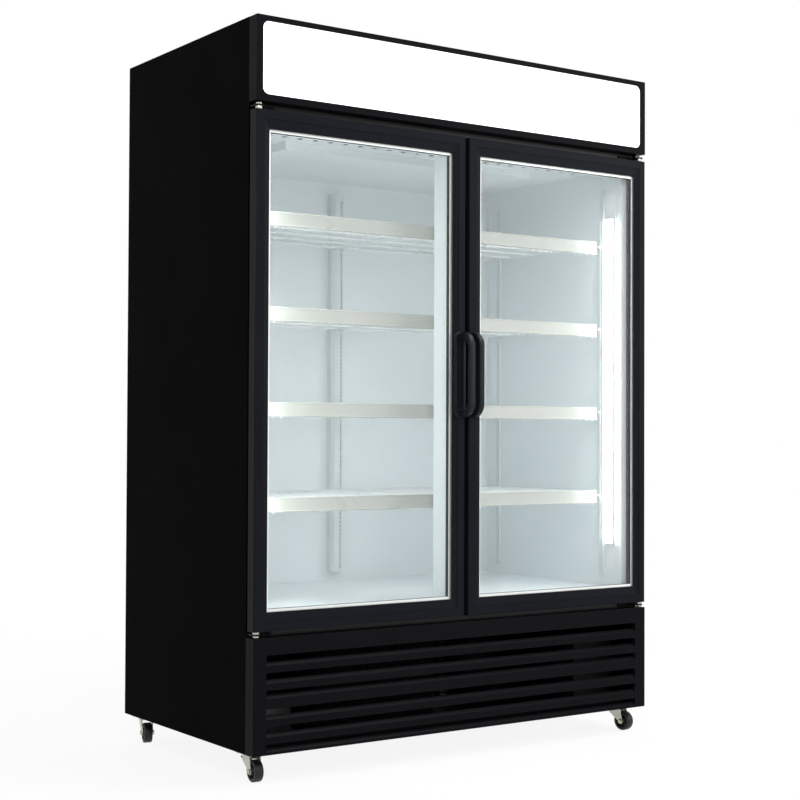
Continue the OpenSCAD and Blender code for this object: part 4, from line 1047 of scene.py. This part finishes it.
def make_fan(node):
    """A hub and its blades round the Y axis, in the room of the fan's solid."""
    low_corner, high_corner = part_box(node)
    centre = (low_corner + high_corner) / 2
    radius = (high_corner.x - low_corner.x) / 2
    half = (high_corner.y - low_corner.y) / 2
    hub = HUB_SHARE * radius
    blades = []
    for k in range(FAN_BLADES):
        clear_selection()
        bpy.ops.mesh.primitive_grid_add(x_subdivisions=6, y_subdivisions=7, size=1)
        blade = bpy.context.object
        for point in blade.data.vertices:
            along = point.co.y + 0.5
            across = point.co.x
            reach = hub * ROOT_SHARE + along * (radius * TIP_SHARE - hub * ROOT_SHARE)
            rounding = 1 - 0.25 * max(0.0, along - 0.8) / 0.2 * abs(across) * 2
            chord = radius * (0.42 + 0.42 * along) * rounding
            pitch = math.radians(ROOT_PITCH - (ROOT_PITCH - TIP_PITCH) * along)
            swing = (across + 0.12 * along) * chord * math.cos(pitch) / reach
            camber = 0.06 * chord * (1 - 4 * across * across)
            depth = across * chord * math.sin(pitch) + camber
            depth = max(-half * DEPTH_SHARE, min(half * DEPTH_SHARE, depth))
            end = reach - 0.05 * radius * (2 * across) ** 2 * along
            point.co = (end * math.sin(swing), depth, end * math.cos(swing))
        thick = blade.modifiers.new("thickness", "SOLIDIFY")
        thick.thickness = BLADE_THICK
        thick.offset = 0
        soft = blade.modifiers.new("soft", "SUBSURF")
        soft.levels = soft.render_levels = 1
        for modifier in (thick.name, soft.name):
            bpy.ops.object.modifier_apply(modifier=modifier)
        blade.data.transform(Matrix.Rotation(math.tau * k / FAN_BLADES, 4, "Y"))
        blades.append(blade)
    nose = [
        (BORE, -half), (hub * 0.86, -half), (hub * 0.96, -half + hub * 0.08),
        (hub, -half + hub * 0.2), (hub, half - hub * 0.1), (hub * 0.94, half),
        (BORE, half), (BORE, -half),
    ]
    turned_hub = lathe(nose, HUB_SIDES, (0, 0, 0), (QUARTER, 0, 0))
    fan = join_pieces([turned_hub] + blades)
    bpy.ops.object.shade_smooth_by_angle(angle=SMOOTH_ANGLE)
    fan.data.transform(Matrix.Translation(centre))
    finish_piece(fan, node + "_blades", polypropylene, node, "dark_plastic", node)


for fan_node in ("condenser_fan", "left_evaporator_fan", "right_evaporator_fan"):
    make_fan(fan_node)

# %% [markdown]
# ## Floor, backdrop and light
#
# A studio for such a picture is a white sweep with soft light from the camera's left. The
# world is white where the camera, a mirror or a pane looks at it, and gives a plain soft
# light elsewhere. The floor is a pale sheet that keeps a little of the shadow under the
# casters, up to the distance where it melts into the backdrop.

# %% Floor
def looked_at(finish):
    """One where the camera, a mirror or a pane looks at the material, and zero elsewhere."""
    seen = add_node(finish, "ShaderNodeLightPath").outputs
    by_camera_or_mirror = combine(finish, "MAXIMUM", seen["Is Camera Ray"], seen["Is Glossy Ray"])
    return combine(finish, "MAXIMUM", by_camera_or_mirror, seen["Is Transmission Ray"])


clear_selection()
FLOOR_SIZE = 24
bpy.ops.mesh.primitive_plane_add(size=FLOOR_SIZE, location=(0, 0, 0))
floor = bpy.context.object
floor.name = "studio_floor"
floor_finish, floor_shader = new_finish(
    "studio_paper", Base_Color=srgb("#f4f4f4"), Roughness=0.9, Specular_IOR_Level=0.0,
)
white_light = add_node(
    floor_finish, "ShaderNodeEmission", {"Color": (1, 1, 1, 1), "Strength": 1.0},
).outputs["Emission"]
NEAR, FAR = 1.0, 3.0
SHADE_LEFT = 0.9
paper_place = add_node(floor_finish, "ShaderNodeTexCoord").outputs["Object"]
away = add_node(floor_finish, "ShaderNodeVectorMath", {0: paper_place}, operation="LENGTH").outputs["Value"]
paper_glow = add_node(
    floor_finish, "ShaderNodeMapRange",
    {"Value": away, "From Min": NEAR, "From Max": FAR, "To Min": SHADE_LEFT, "To Max": 1.0},
).outputs["Result"]
paper_mix = combine(floor_finish, "MULTIPLY", looked_at(floor_finish), paper_glow)
paper = add_node(
    floor_finish, "ShaderNodeMixShader", {0: paper_mix, 1: floor_shader.outputs["BSDF"], 2: white_light},
).outputs["Shader"]
floor_finish.node_tree.links.new(paper, floor_finish.node_tree.nodes["Material Output"].inputs["Surface"])
floor.data.materials.append(floor_finish)
print(floor.name, "is", FLOOR_SIZE, "m wide")

# %% World
world = bpy.data.worlds.new("white_studio")
bpy.context.scene.world = world
world.use_nodes = True
sky = world.node_tree.nodes["Background"]
SOFT_LIGHT = 0.45
world_level = add_node(
    world, "ShaderNodeMapRange", {"Value": looked_at(world), "To Min": SOFT_LIGHT, "To Max": 1.0},
).outputs["Result"]
sky.inputs["Color"].default_value = (1, 1, 1, 1)
world.node_tree.links.new(world_level, sky.inputs["Strength"])
print("white studio, soft light", SOFT_LIGHT)

# %% Soft boxes
def soft_box(name, place, target, size, power):
    """A square area light that looks at a point."""
    data = bpy.data.lights.new(name, "AREA")
    data.shape = "SQUARE"
    data.size = size
    data.energy = power
    lamp = bpy.data.objects.new(name, data)
    bpy.context.scene.collection.objects.link(lamp)
    lamp.location = place
    lamp.rotation_euler = (Vector(target) - Vector(place)).to_track_quat("-Z", "Y").to_euler()


middle = (cad_low + cad_high) / 2
soft_box("key_light", (-2.2, -4.2, 3.6), middle, size=2.4, power=106)
soft_box("fill_light", (3.6, -3.4, 2.2), middle, size=2.4, power=45)
soft_box("top_light", (1.6, -1.8, 4.4), middle, size=2.0, power=110)
soft_box("back_light", (1.5, 4.0, 3.4), middle, size=2.4, power=80)
print("four soft boxes")
